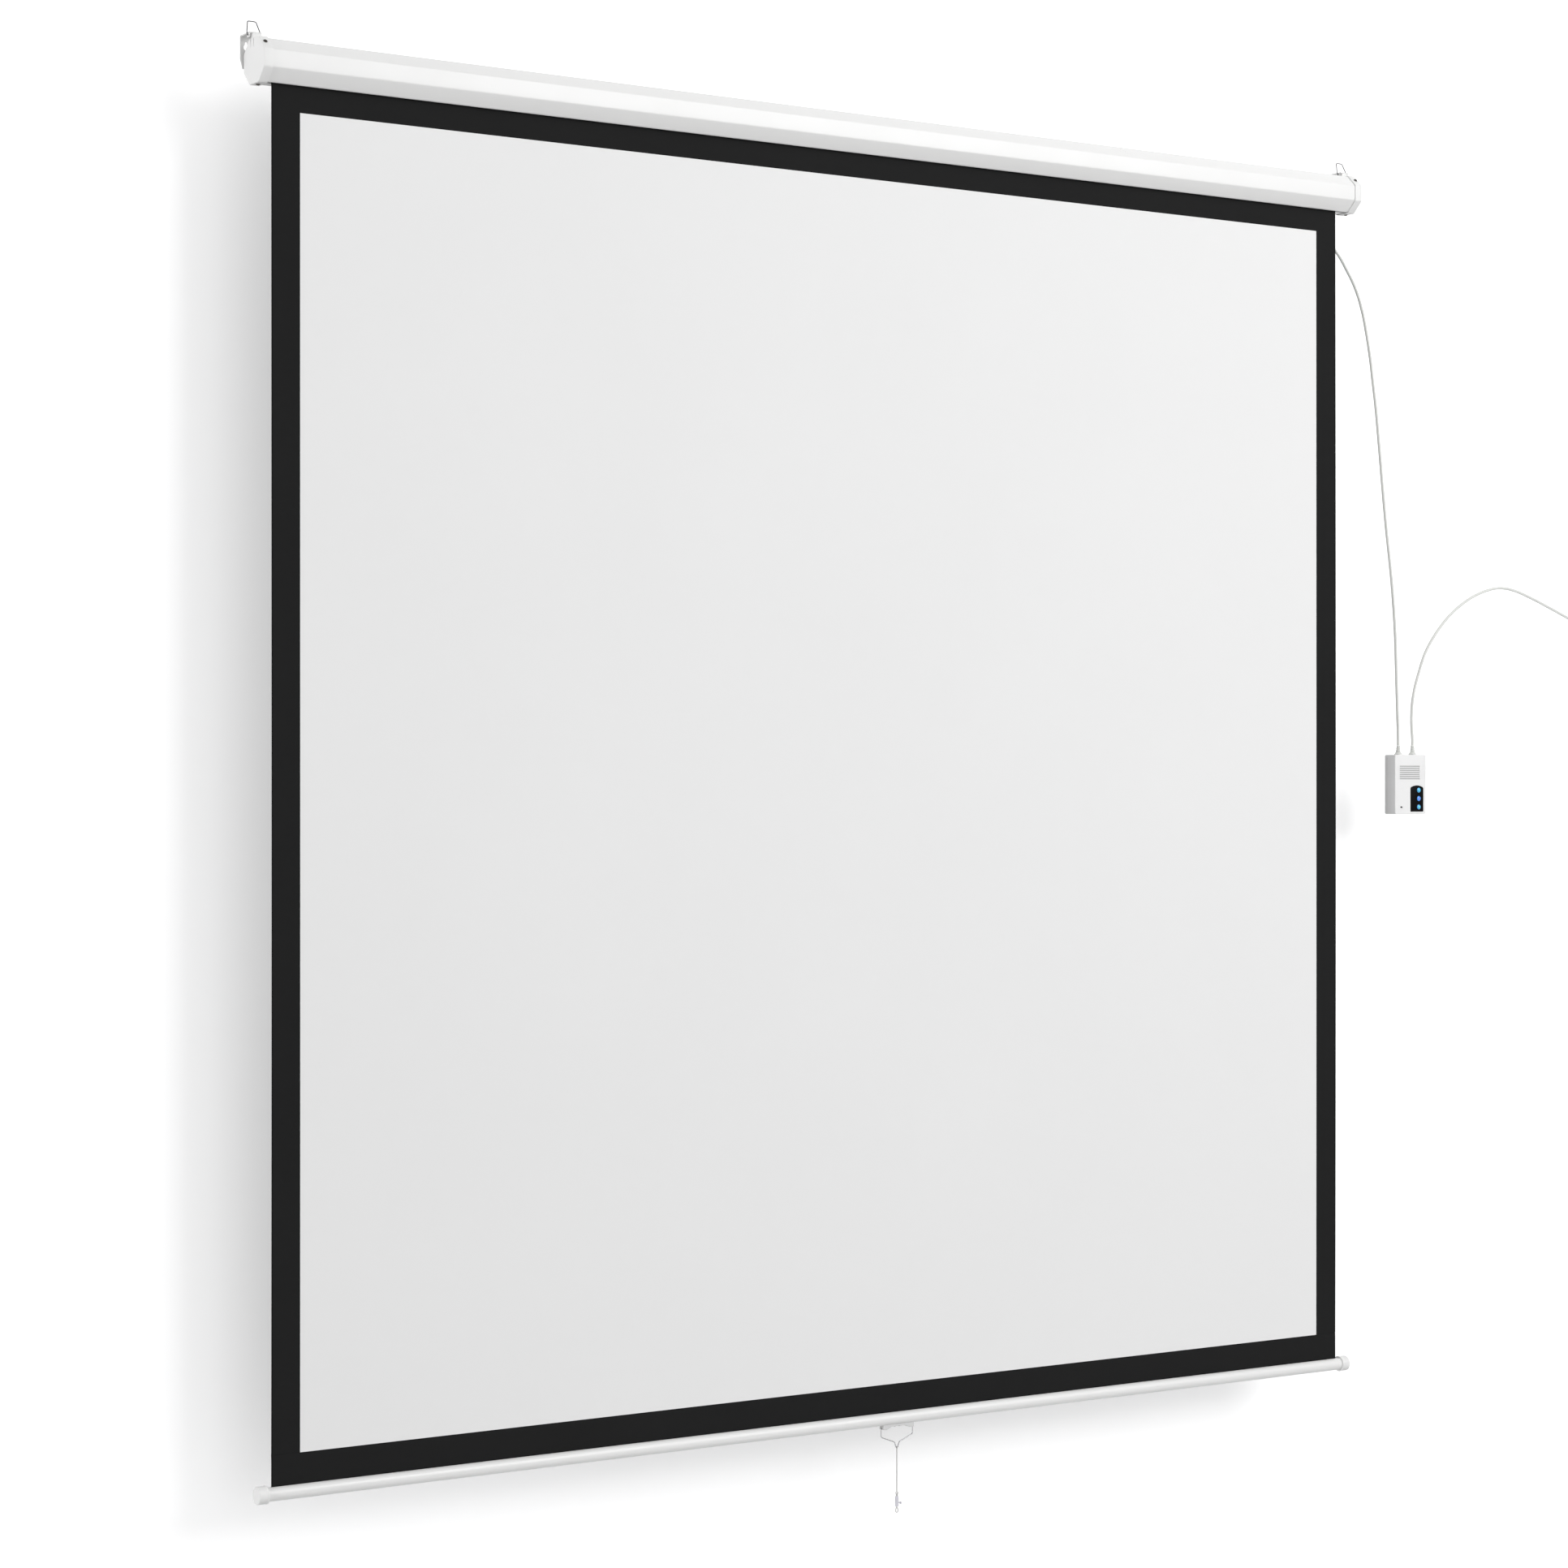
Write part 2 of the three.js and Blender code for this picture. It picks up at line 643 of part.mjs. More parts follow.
function makeRoller() {
  const tubeLeft = clothLeft - rollerIdleEnd;
  const tubeRight = clothRight + rollerDriveEnd;
  const bore = rollerTube - 2 * rollerWall;
  const body = rodX(rollerTube, tubeLeft, tubeRight, rollerY, rollerZ, largeSides);
  const hollow = rodX(bore, tubeLeft - overrun, tubeRight + overrun, rollerY, rollerZ, largeSides);
  addPiece('roller_tube', cut(body, hollow), steel, 0.45, 0.8);

  // Cloth turns left on the roller: one sheet, wound outward and ending where it hangs down
  const steps = clothTurns * turnSteps;
  const turnPoint = (i, thickness) => {
    const angle = Math.PI - ((steps - i) / turnSteps) * 2 * Math.PI;
    const r = wrapR - clothThickness - ((steps - i) / turnSteps) * turnPitch + thickness;
    return new THREE.Vector2(rollerY + r * Math.cos(angle), rollerZ + r * Math.sin(angle));
  };
  const outside = Array.from({ length: steps + 1 }, (_, i) => turnPoint(i, clothThickness));
  const inside = Array.from({ length: steps + 1 }, (_, i) => turnPoint(i, 0)).reverse();
  const wound = prismX(new THREE.Shape([...outside, ...inside]), clothLeft, clothRight);
  addPiece('wound_cloth', wound, borderBlack, 0.85);

  const plugR = bore / 2 - fit;
  const bushFace = -casingEndX + bushLength;
  const pinR = idlerPin / 2 - fit;
  const flangeLeft = tubeLeft - idlerFlange - fit;
  const idler = [
    [0, -casingEndX + fit], [pinR, -casingEndX + fit], [pinR, flangeLeft],
    [rollerR, flangeLeft], [rollerR, tubeLeft - fit], [plugR, tubeLeft - fit],
    [plugR, tubeLeft + idlerPlugLength - turnedEdge], [plugR - turnedEdge, tubeLeft + idlerPlugLength],
    [0, tubeLeft + idlerPlugLength],
  ];
  addPiece('idler_plug', turnedX(idler, rollerY, rollerZ), '#d8d8d4', 0.55);
  const bushInner = idlerPin / 2;
  const bush = [
    [bushInner, -casingEndX], [bushOuter / 2, -casingEndX], [bushOuter / 2, bushFace - turnedEdge],
    [bushOuter / 2 - turnedEdge, bushFace], [bushInner, bushFace], [bushInner, -casingEndX],
  ];
  addPiece('idler_bush', turnedX(bush, rollerY, rollerZ), '#e4e2da', 0.5);

  const crownR = bore / 2 - fit;
  const crownBore = motorCase / 2 + fit;
  const crown = [
    [crownBore, tubeRight - crownSleeve], [crownR, tubeRight - crownSleeve], [crownR, tubeRight + fit],
    [rollerR, tubeRight + fit], [rollerR, tubeRight + crownFlange], [crownBore, tubeRight + crownFlange],
    [crownBore, tubeRight - crownSleeve],
  ];
  addPiece('motor_crown', turnedX(crown, rollerY, rollerZ), '#2e2f31', 0.6);

  const wheelLeft = motorLeft() - motorShaftLength;
  const wheel = rodX(bore - 2 * fit, wheelLeft, wheelLeft + driveWheelLength, rollerY, rollerZ);
  const [cutLeft, cutRight] = [wheelLeft - overrun, wheelLeft + driveWheelLength + overrun];
  const lobes = Array.from({ length: driveLobes }, (_, i) => {
    const angle = (2 * Math.PI * i) / driveLobes;
    const y = rollerY + (bore / 2) * Math.cos(angle);
    const z = rollerZ + (bore / 2) * Math.sin(angle);
    return rodX(2 * driveLobeDepth, cutLeft, cutRight, y, z, smallSides);
  });
  const shaftHole = rodX(motorShaft + 2 * fit, cutLeft, cutRight, rollerY, rollerZ);
  addPiece('drive_wheel', cut(wheel, ...lobes, shaftHole), '#38393b', 0.55);
}

function motorRight() {
  return clothRight + rollerDriveEnd + crownFlange + fit;
}

function motorLeft() {
  return motorRight() - motorLength;
}

function makeMotor() {
  const [left, right] = [motorLeft(), motorRight()];
  const [r, shaft, step] = [motorCase / 2, motorShaft / 2, turnedEdge];
  const motor = [
    [0, left - motorShaftLength], [shaft, left - motorShaftLength], [shaft, left], [r - step, left],
    [r, left + step], [r, right], [0, right],
  ];
  addPiece('tubular_motor', turnedX(motor, rollerY, rollerZ), '#c9cacb', 0.35, 0.7);

  const headLeft = right + fit;
  const headRight = headLeft + motorHeadLength;
  const headR = motorHeadSize / 2;
  const head = [
    [0, headLeft], [headR, headLeft], [headR, headRight - step], [headR - step, headRight], [0, headRight],
  ];
  const stud = motorStud / 2;
  const studBlock = block(
    headRight - step, headRight + motorStudLength, rollerY - stud, rollerY + stud,
    rollerZ - stud, rollerZ + stud,
  );
  addPiece('motor_head', join(turnedX(head, rollerY, rollerZ), studBlock), '#2b2c2e', 0.6);

  const [width, height] = [holderWidth / 2, holderHeight / 2];
  const outline = roundedRectangle(
    rollerY - width, rollerY + width, rollerZ - height, rollerZ + height, motorStud,
  );
  const plate = prismX(outline, casingEndX - holderPlate, casingEndX);
  const socket = stud + fit;
  const hole = block(
    casingEndX - holderPlate - overrun, casingEndX + overrun, rollerY - socket, rollerY + socket,
    rollerZ - socket, rollerZ + socket,
  );
  addPiece('motor_holder', cut(plate, hole), '#b7b9ba', 0.4, 0.8);
}

function makeCloth() {
  const face = clothY - clothThickness / 2;
  const rear = clothY + clothThickness / 2;
  const cloth = block(clothLeft, clothRight, face, rear, hemLine + fit, rollerZ - fit);
  addPiece('screen_cloth', cloth, borderBlack, 0.85);

  const white = block(
    clothLeft + sideBorder, clothRight - sideBorder, face - fit - surfaceThickness, face - fit,
    hemLine, casingBottom - topBorder,
  );
  addPiece('projection_surface', white, '#ececec', 0.9);

  // Hem: the strip under the white field, sewn round the rod inside the bar
  const rodZPlace = barZ + barTube / 2 - barWall - hemRod / 2 - 2 * fit - clothThickness;
  const loopR = hemRod / 2 + fit;
  const loop = cut(
    rodX(2 * (loopR + clothThickness), clothLeft, clothRight, clothY, rodZPlace),
    rodX(2 * loopR, clothLeft - overrun, clothRight + overrun, clothY, rodZPlace),
  );
  const strip = block(clothLeft, clothRight, face, rear, rodZPlace + loopR + clothThickness / 2, hemLine);
  addPiece('hem_cloth', join(loop, strip), borderBlack, 0.85);
  const rodLeft = clothLeft - barPastCloth / 2;
  const rodRight = clothRight + barPastCloth / 2;
  addPiece('hem_rod', rodX(hemRod, rodLeft, rodRight, clothY, rodZPlace, smallSides), steel, 0.4, 0.9);
}

function makeBar() {
  const barHalf = screenWidth / 2 + barPastCloth;
  const tubeHalf = barHalf - barCapFace - fit;
  const [tubeLow, tubeHigh] = [screenOffset - tubeHalf, screenOffset + tubeHalf];
  const outer = rodX(barTube, tubeLow, tubeHigh, clothY, barZ, largeSides);
  const inner = rodX(barTube - 2 * barWall, tubeLow - overrun, tubeHigh + overrun, clothY, barZ, largeSides);
  const [slotFrontY, slotRearY] = [clothY - barSlot / 2, clothY + barSlot / 2];
  const slot = block(tubeLow - overrun, tubeHigh + overrun, slotFrontY, slotRearY, barZ, barZ + barTube);
  const screwHoles = [-1, 1].map((side) => {
    const x = handlePlace + (side * clipScrewPitch) / 2;
    return rodZ(clipScrewShank + 2 * fit, barZ - barTube, barZ, x, clothY, smallSides);
  });
  addPiece('bar_tube', cut(outer, inner, slot, ...screwHoles), enamel, 0.38, 0.15);

  for (const [name, side] of ends) {
    const tip = screenOffset + side * barHalf;
    const [r, bore, lip] = [barCap / 2, barTube / 2 + fit, barCapLip / 2];
    const cup = [
      [0, 0], [r - barCapEdge, 0], [r, barCapEdge], [r, barCapLength - barCapLipLength],
      [lip, barCapLength - barCapLipLength + barCapEdge / 2], [lip, barCapLength - barCapEdge / 2],
      [lip - barCapEdge / 2, barCapLength], [bore, barCapLength], [bore, barCapFace], [0, barCapFace],
    ];
    const cap = turned(cup, middleSides).rotateZ((side * Math.PI) / 2).translate(tip, clothY, barZ);
    addPiece(`${name}_bar_cap`, cap, plasticWhite, 0.45);
  }
}

function makeHandle() {
  const half = handleWidth / 2 - handleWire / 2 - fit;
  const under = barZ - barTube / 2;
  const [lobeEnd, lobeStart] = [half - clipLobeLength, half - clipLobeLength - clipLobeRun];
  const rightHalf = [
    [lobeStart, under - clipPlate], [lobeEnd, under - clipLobe],
    [half, under - clipLobe], [half, under + clipHug],
  ];
  const leftHalf = rightHalf.map(([x, z]) => [-x, z]).reverse();
  const points = [...leftHalf, ...rightHalf].map(([x, z]) => new THREE.Vector2(handlePlace + x, z));
  const outline = new THREE.Shape(points);
  const clipBlock = prismY(outline, clothY - clipDepth / 2, clothY + clipDepth / 2);
  const clipLow = handlePlace - half - overrun;
  const clipHigh = handlePlace + half + overrun;
  const wireHole = rodX(handleWire + 2 * fit, clipLow, clipHigh, clothY, pivotZ, smallSides);
  const tubeSpace = rodX(barTube + 2 * fit, clipLow, clipHigh, clothY, barZ, largeSides);
  const screwPlaces = [-1, 1].map((side) => handlePlace + (side * clipScrewPitch) / 2);
  const screwHoles = screwPlaces.map((x) =>
    rodZ(clipScrewShank + 2 * fit, under - clipLobe - overrun, barZ, x, clothY, smallSides));
  addPiece('handle_clip', cut(clipBlock, wireHole, tubeSpace, ...screwHoles), '#d9dad8', 0.45);

  screwPlaces.forEach((x, i) => {
    const [head, shank] = [clipScrewHead / 2, clipScrewShank / 2];
    const face = under - clipPlate - fit;
    const profile = [
      [0, face - clipScrewHeight], [head - clipScrewHeight / 2, face - clipScrewHeight],
      [head, face - clipScrewHeight / 2], [head, face], [shank, face], [shank, under + barWall + clipPlate],
      [0, under + barWall + clipPlate + shank],
    ];
    addPiece(`clip_screw_${i + 1}`, turnedZ(profile, x, clothY, smallSides), '#4a4b4d', 0.35, 0.8);
  });

  const [leg, neck, tip] = [handleWidth / 2, handleNeck / 2, handleTip / 2];
  const side = [
    [half - handleReach, 0], [leg, 0], [leg, -handleLeg], [neck, -handleNeckDrop], [tip, -handleHeight],
  ];
  const leftCorners = side.map(([x, z]) => axis(-x, 0, z));
  const corners = [...leftCorners, ...side.reverse().map(([x, z]) => axis(x, 0, z))];
  const wire = bentWire(corners, handleBend, handleWire);
  addPiece('handle_wire', wire.translate(handlePlace, clothY, pivotZ), steel, 0.3, 0.9);
}

function makePullCord() {
  const cordEnd = cordTopZ - pullCordLength;
  const top = axis(handlePlace, clothY, cordTopZ);
  const line = new THREE.LineCurve3(top, axis(handlePlace, clothY, cordEnd));
  const steps = Math.ceil(pullCordLength / pullCordStep);
  addPiece('pull_cord', tube(line, pullCord, wireSides, steps), '#d6d6d2', 0.8);

  const knotZ = cordEnd - fit - knotSize / 2;
  const knotBall = new THREE.SphereGeometry(knotSize / 2, smallSides, wireSides);
  knotBall.translate(handlePlace, clothY, knotZ);
  const stub = rodX(knotStub, -knotStubReach, knotStubReach, 0, 0, wireSides);
  stub.rotateY(THREE.MathUtils.degToRad(knotStubTilt)).translate(handlePlace, clothY, knotZ);
  addPiece('cord_knot', join(knotBall, stub), '#cfcfca', 0.8);

  const toggleTop = knotZ - knotSize / 2 - fit;
  const toggleFoot = toggleTop - toggleLength;
  const r = toggleSize / 2;
  const edge = toggleEdge;
  const profile = [
    [0, toggleFoot], [r - edge, toggleFoot], [r, toggleFoot + edge], [r, toggleTop - edge],
    [r - edge, toggleTop], [0, toggleTop],
  ];
  const pegZ = toggleTop - togglePegDrop;
  const peg = rodX(togglePeg, 0, togglePegReach, clothY, pegZ, wireSides).translate(handlePlace, 0, 0);
  const ball = new THREE.SphereGeometry(togglePegBall / 2, smallSides, wireSides);
  ball.translate(handlePlace + togglePegReach, clothY, pegZ);
  const barrel = turnedZ(profile, handlePlace, clothY, smallSides);
  addPiece('cord_toggle', join(barrel, peg, ball), '#c4c5c4', 0.5);

  const loopTop = toggleFoot - fit;
  const [across, tall] = [endLoopWidth / 2 - endLoopWire / 2, endLoopHeight - endLoopWire];
  const belly = tall * endLoopBellyShare;
  const ring = new THREE.CatmullRomCurve3(
    [[0, 0], [-across, -belly], [0, -tall], [across, -belly]].map(([x, z]) => axis(x, 0, z)),
    true,
  );
  const section = new THREE.Shape().absarc(0, 0, endLoopWire / 2, 0, 2 * Math.PI);
  const ringSteps = middleSides;
  const loop = new THREE.ExtrudeGeometry(section, {
    steps: ringSteps, bevelEnabled: false, extrudePath: ring, curveSegments: wireSides / 2,
  });
  addPiece('cord_loop', loop.translate(handlePlace, clothY, loopTop - endLoopWire / 2), '#cfcfca', 0.7);
}

// Points on the control box, from its middle
const boxX = (across) => boxPlaceX + across;
const boxZ = (up) => boxPlaceZ + up;
const keypadLeftX = boxX(boxWidth / 2 - keypadRight - keypadWidth);
const keypadBottomZ = boxZ(keypadFoot - boxHeight / 2);
const buttonX = keypadLeftX + keypadWidth - buttonRight;
const buttonZ = (i) => keypadBottomZ + buttonFoot + i * buttonPitch;
const buttonNames = ['down_button', 'stop_button', 'up_button'];
const indicatorX = boxX(indicatorLeft - boxWidth / 2);
const indicatorZ = boxZ(indicatorFoot - boxHeight / 2);
const boardFace = boxFront + boardFront;
const bosses = [[0, boxHeight / 2 - upperBossInset], [lowerBossPlace, lowerBossInset - boxHeight / 2]];
const reliefSides = [-1, 1];

function boxOutline(inset) {
  const [width, height] = [boxWidth / 2 - inset, boxHeight / 2 - inset];
  return roundedRectangle(boxX(-width), boxX(width), boxZ(-height), boxZ(height), boxCorner - inset / 2);
}

function keypadOutline(clear) {
  const [left, right] = [keypadLeftX - clear, keypadLeftX + keypadWidth + clear];
  const [foot, shoulder] = [keypadBottomZ - clear, keypadBottomZ + keypadHeight - keypadArch + clear];
  const shape = new THREE.Shape();
  shape.moveTo(left + keypadCorner, foot);
  shape.absarc(right - keypadCorner, foot + keypadCorner, keypadCorner, -Math.PI / 2, 0);
  shape.lineTo(right, shoulder - keypadCorner);
  const spring = shoulder + keypadArch * archShares.spring;
  const peak = shoulder + keypadArch * archShares.peak;
  shape.quadraticCurveTo(right, shoulder, right - keypadCorner, spring);
  shape.quadraticCurveTo((left + right) / 2, peak, left + keypadCorner, spring);
  shape.quadraticCurveTo(left, shoulder, left, shoulder - keypadCorner);
  shape.lineTo(left, foot + keypadCorner);
  shape.absarc(left + keypadCorner, foot + keypadCorner, keypadCorner, Math.PI, Math.PI * 1.5);
  return shape;
}

function ellipse(width, height) {
  return new THREE.Shape().absellipse(indicatorX, indicatorZ, width / 2, height / 2, 0, 2 * Math.PI);
}

function makeBoxFront() {
  const split = -boxBackDepth - fit;
  const hollow = prismY(boxOutline(boxWall), boxFront + boxWall, split + overrun);
  const shell = cut(prismY(boxOutline(0), boxFront, split, boxEdge), hollow);
  const inner = boxFront + boxWall / 2;
  const posts = [-1, 1].flatMap((side) => [-1, 1].map((end) => {
    const x = boxX(side * (boardWidth / 2 - postInset));
    const z = boxZ(boardRise + end * (boardHeight / 2 - postInset));
    return rodY(postSize, inner, boardFace - fit, x, z, smallSides);
  }));
  const bossRear = -boxWall - fit;
  const bossRods = bosses.map(([x, z]) => rodY(bossSize, inner, bossRear, boxX(x), boxZ(z), smallSides));
  const louvreLow = boxX(louvreLeft - boxWidth / 2);
  const louvres = Array.from({ length: louvreCount }, (_, i) => {
    const top = boxTop - louvreTop - i * louvrePitch;
    const foot = top - louvreHeight;
    return block(louvreLow, louvreLow + louvreLength, boxFront - overrun, boxFront + louvreDepth, foot, top);
  });
  const recess = prismY(keypadOutline(fit), boxFront - overrun, boxFront + keypadDepth);
  const buttonHoles = buttonNames.map((_, i) =>
    rodY(buttonSize + 2 * fit, boxFront - overrun, boxFront + boxWall + overrun, buttonX, buttonZ(i)));
  const window = prismY(
    ellipse(indicatorWidth + 2 * fit, indicatorHeight + 2 * fit),
    boxFront - overrun,
    boxFront + boxWall + overrun,
  );
  const screwBores = bosses.map(([x, z]) =>
    rodY(boxScrewShank + 2 * fit, -boxScrewLength - overrun, 0, boxX(x), boxZ(z), smallSides));
  const reliefHoles = reliefSides.map((side) => {
    const x = boxX((side * reliefPitch) / 2);
    return rodZ(reliefNeck + 2 * fit, boxTop - boxWall - overrun, boxTop + overrun, x, reliefY);
  });
  const openings = [...louvres, recess, ...buttonHoles, window, ...screwBores, ...reliefHoles];
  addPiece('box_front', cut(join(shell, ...posts, ...bossRods), ...openings), plasticWhite, 0.5);
}

function makeBoxBack() {
  const tray = cut(
    prismY(boxOutline(0), -boxBackDepth, 0, boxEdge),
    prismY(boxOutline(boxWall), -boxBackDepth - overrun, -boxWall),
  );
  const holes = bosses.flatMap(([x, z]) => [
    rodY(boxScrewShank + 2 * fit, -boxWall - overrun, overrun, boxX(x), boxZ(z), smallSides),
    rodY(boxScrewHead + 2 * fit, -boxScrewHeadHeight - fit, overrun, boxX(x), boxZ(z), smallSides),
  ]);
  addPiece('box_back', cut(tray, ...holes), plasticWhite, 0.5);
  bosses.forEach(([x, z], i) => {
    const head = rodY(boxScrewHead, -boxScrewHeadHeight, -fit, boxX(x), boxZ(z), smallSides);
    const shankEnd = -boxScrewHeadHeight / 2;
    const shank = rodY(boxScrewShank, -boxScrewLength, shankEnd, boxX(x), boxZ(z), smallSides);
    addPiece(`box_screw_${i + 1}`, join(head, shank), '#9a9c9e', 0.35, 0.9);
  });
}

function makeKeypad() {
  const plate = prismY(keypadOutline(0), boxFront - fit, boxFront + keypadDepth - fit);
  const holes = buttonNames.map((_, i) =>
    rodY(buttonSize + 2 * fit, boxFront - overrun, boxFront + boxWall, buttonX, buttonZ(i)));
  addPiece('keypad_panel', cut(plate, ...holes), '#0b0b0c', 0.35);

  const r = buttonSize / 2;
  const top = boxFront - buttonProud;
  const flangeFront = boxFront + boxWall + fit;
  const flangeBack = flangeFront + buttonFlangeThickness;
  const stemEnd = boardFace - buttonTravel - 2 * fit;
  const edge = buttonProud / 2;
  const profile = [
    [0, top], [r - edge, top], [r, top + edge], [r, flangeFront], [r + buttonFlange, flangeFront],
    [r + buttonFlange, flangeBack], [buttonStem / 2, flangeBack], [buttonStem / 2, stemEnd], [0, stemEnd],
  ];
  const colors = ['#4fb6e6', '#3f8fe0', '#4fb6e6'];
  buttonNames.forEach((name, i) => {
    addPiece(name, turned(profile, middleSides).translate(buttonX, 0, buttonZ(i)), colors[i], 0.35);
  });

  const lens = join(
    prismY(ellipse(indicatorWidth, indicatorHeight), boxFront - fit, flangeBack),
    prismY(
      ellipse(indicatorWidth + 2 * indicatorFlange, indicatorHeight + 2 * indicatorFlange),
      flangeFront,
      flangeBack,
    ),
  );
  addPiece('indicator_window', lens, '#3a3434', 0.2);
}

function makeElectronics() {
  const rear = boardFace + boardThickness;
  const [halfWidth, halfHeight] = [boardWidth / 2, boardHeight / 2];
  const board = block(
    boxX(-halfWidth), boxX(halfWidth), boardFace, rear,
    boxZ(boardRise - halfHeight), boxZ(boardRise + halfHeight),
  );
  addPiece('circuit_board', board, '#2f6b45', 0.6);
  [-1, 1].forEach((side, i) => {
    const x = boxX((side * relayPitch) / 2);
    const relay = block(
      x - relayWidth / 2, x + relayWidth / 2, rear + fit, rear + fit + relayDepth,
      boxZ(boardRise - relayHeight / 2), boxZ(boardRise + relayHeight / 2),
    );
    addPiece(`relay_${i + 1}`, relay, '#2a5fa8', 0.5);
  });
  const top = boxZ(boardRise + halfHeight - 2 * fit);
  const body = block(
    boxX(-terminalWidth / 2), boxX(terminalWidth / 2), rear + fit, rear + fit + terminalDepth,
    top - terminalHeight, top,
  );
  const way = terminalWidth / terminalWays;
  const bores = Array.from({ length: terminalWays }, (_, i) => {
    const x = boxX(i * way + way / 2 - terminalWidth / 2);
    const middle = top - terminalHeight / 2;
    const [start, end] = [rear + terminalDepth / 2, rear + terminalDepth + overrun];
    return rodY(terminalBore, start, end, x, middle, smallSides);
  });
  addPiece('terminal_block', cut(body, ...bores), '#3b8f5a', 0.5);
}

// Strain relief: a cone foot on the box's top, ribs above it, and a neck and collar inside the wall
function makeReliefs() {
  const foot = boxTop + fit;
  const top = foot + reliefHeight;
  const [base, cone, tip, neck] = [reliefBase / 2, reliefCone / 2, reliefTop / 2, reliefNeck / 2];
  const collar = reliefCollar / 2;
  const collarTop = boxTop - boxWall - fit;
  const ribStart = foot + reliefConeHeight;
  const pitch = (top - ribStart) / (reliefRibs + ribShares.tail);
  const ribs = Array.from({ length: reliefRibs }, (_, i) => {
    const low = ribStart + i * pitch;
    const waist = THREE.MathUtils.lerp(cone, tip, (i + 1) / reliefRibs) - reliefWaist;
    const swell = THREE.MathUtils.lerp(cone, tip, i / reliefRibs);
    return [
      [waist, low + pitch * ribShares.low], [swell, low + pitch * ribShares.swell],
      [swell, low + pitch * ribShares.fall], [waist, low + pitch],
    ];
  }).flat();
  const profile = [
    [0, collarTop - reliefCollarThickness], [collar, collarTop - reliefCollarThickness], [collar, collarTop],
    [neck, collarTop], [neck, foot], [base, foot], [base, foot + reliefBaseHeight], [cone, ribStart],
    ...ribs, [tip, top], [0, top],
  ];
  const names = ['motor_lead_relief', 'supply_lead_relief'];
  reliefSides.forEach((side, i) => {
    const relief = turnedZ(profile, boxX((side * reliefPitch) / 2), reliefY, turnedSides);
    addPiece(names[i], relief, '#dedfd9', 0.55);
  });
}

function makeGland() {
  const [head, neck, tip] = [glandSize / 2, glandNeck / 2, glandTip / 2];
  const top = casingBottom + casingWall + fit;
  const face = casingBottom - fit;
  const profile = [
    [0, face - glandHead - glandTipLength], [tip - glandNutThickness / 2, face - glandHead - glandTipLength],
    [tip, face - glandHead], [head, face - glandHead], [head, face], [neck, face], [neck, top],
    [head, top], [head, top + glandNutThickness], [0, top + glandNutThickness],
  ];
  addPiece('cable_gland', turnedZ(profile, glandPlace, -glandBack), '#d9dad6', 0.5);
}

// Motor lead: out of the gland behind the cloth, past its edge and down to the box's left relief.
// X in both leads' routes counts from the housing's end.
function makeMotorLead() {
  const start = casingBottom - 2 * fit - glandHead - glandTipLength;
  const end = boxTop + 2 * fit + reliefHeight;
  const reliefX = boxX(-reliefPitch / 2);
  const route = [
    [-56.65, -30, -88], [-48.65, -30, -100], [-36.65, -30, -110.5],
    [-22.65, -29.8, -121.5], [-9.65, -29.5, -134.7], [6.35, -29, -155.3],
    [18.15, -28.7, -171.5], [28.85, -28.4, -189.7], [38.05, -28, -210.2],
    [46.35, -27.5, -234.4], [54.65, -26.9, -266.4], [63.05, -26.2, -304], [70.15, -25.4, -345.8],
    [77.45, -24.6, -387.2], [104.25, -20.9, -587], [121.85, -18.8, -701.6], [131.15, -17.2, -788],
    [136.85, -15.3, -889], [140.75, -13.9, -950],
  ];
  const points = [
    [glandPlace, -glandBack, start], [glandPlace, -glandBack, start - 2 * leadSize],
    ...route.map(([x, y, z]) => [endX + x, y, z]),
    [reliefX, reliefY, end + 2 * leadSize], [reliefX, reliefY, end],
  ].map((p) => axis(...p));
  const path = new THREE.CatmullRomCurve3(points, false, 'centripetal');
  addPiece('motor_lead', tube(path, leadSize, leadSides, leadSteps), '#e6e7e4', 0.5);
  return path.getLength();
}

// Supply lead: up from the right relief, over in an arc and down to where the coil starts
function makeSupplyLead() {
  const start = boxTop + 2 * fit + reliefHeight;
  const startX = boxX(reliefPitch / 2);
  const coilEntry = coilStartX - leadSize;
  const route = [
    [174.15, -937.3], [178.75, -897], [190.95, -859.1], [208.95, -818.9], [236.45, -782.4],
    [273.25, -747.9], [319.45, -719.7], [363.05, -703.8], [394.35, -699], [428.85, -702.4],
    [476.55, -716.3], [524.35, -733.2], [567.85, -749.2], [592.35, -758.5],
  ];
  const points = [
    [startX, reliefY, start], [startX, reliefY, start + 2 * leadSize],
    ...route.map(([x, z]) => [endX + x, reliefY, z]),
    [coilEntry - 2 * leadSize, reliefY, coilStartZ], [coilEntry - fit, reliefY, coilStartZ],
  ].map((p) => axis(...p));
  const path = new THREE.CatmullRomCurve3(points, false, 'centripetal');
  addPiece('supply_lead', tube(path, leadSize, leadSides, supplySteps), '#e6e7e4', 0.5);
  return path.getLength();
}

// Coil: turns spiral in on the front layer, climb back a layer in half a turn, and spiral out again
const climbStart = (coilTurns - coilClimbTurns + coilExitTurns) / 2;
const reverse = climbStart + coilClimbTurns / 2;
const coilOuterR = coilMean / 2 + (coilPitch * reverse) / 2;
const coilCentreZ = coilStartZ - coilOuterR;
const tailLength = coilOuterR + leadSize;

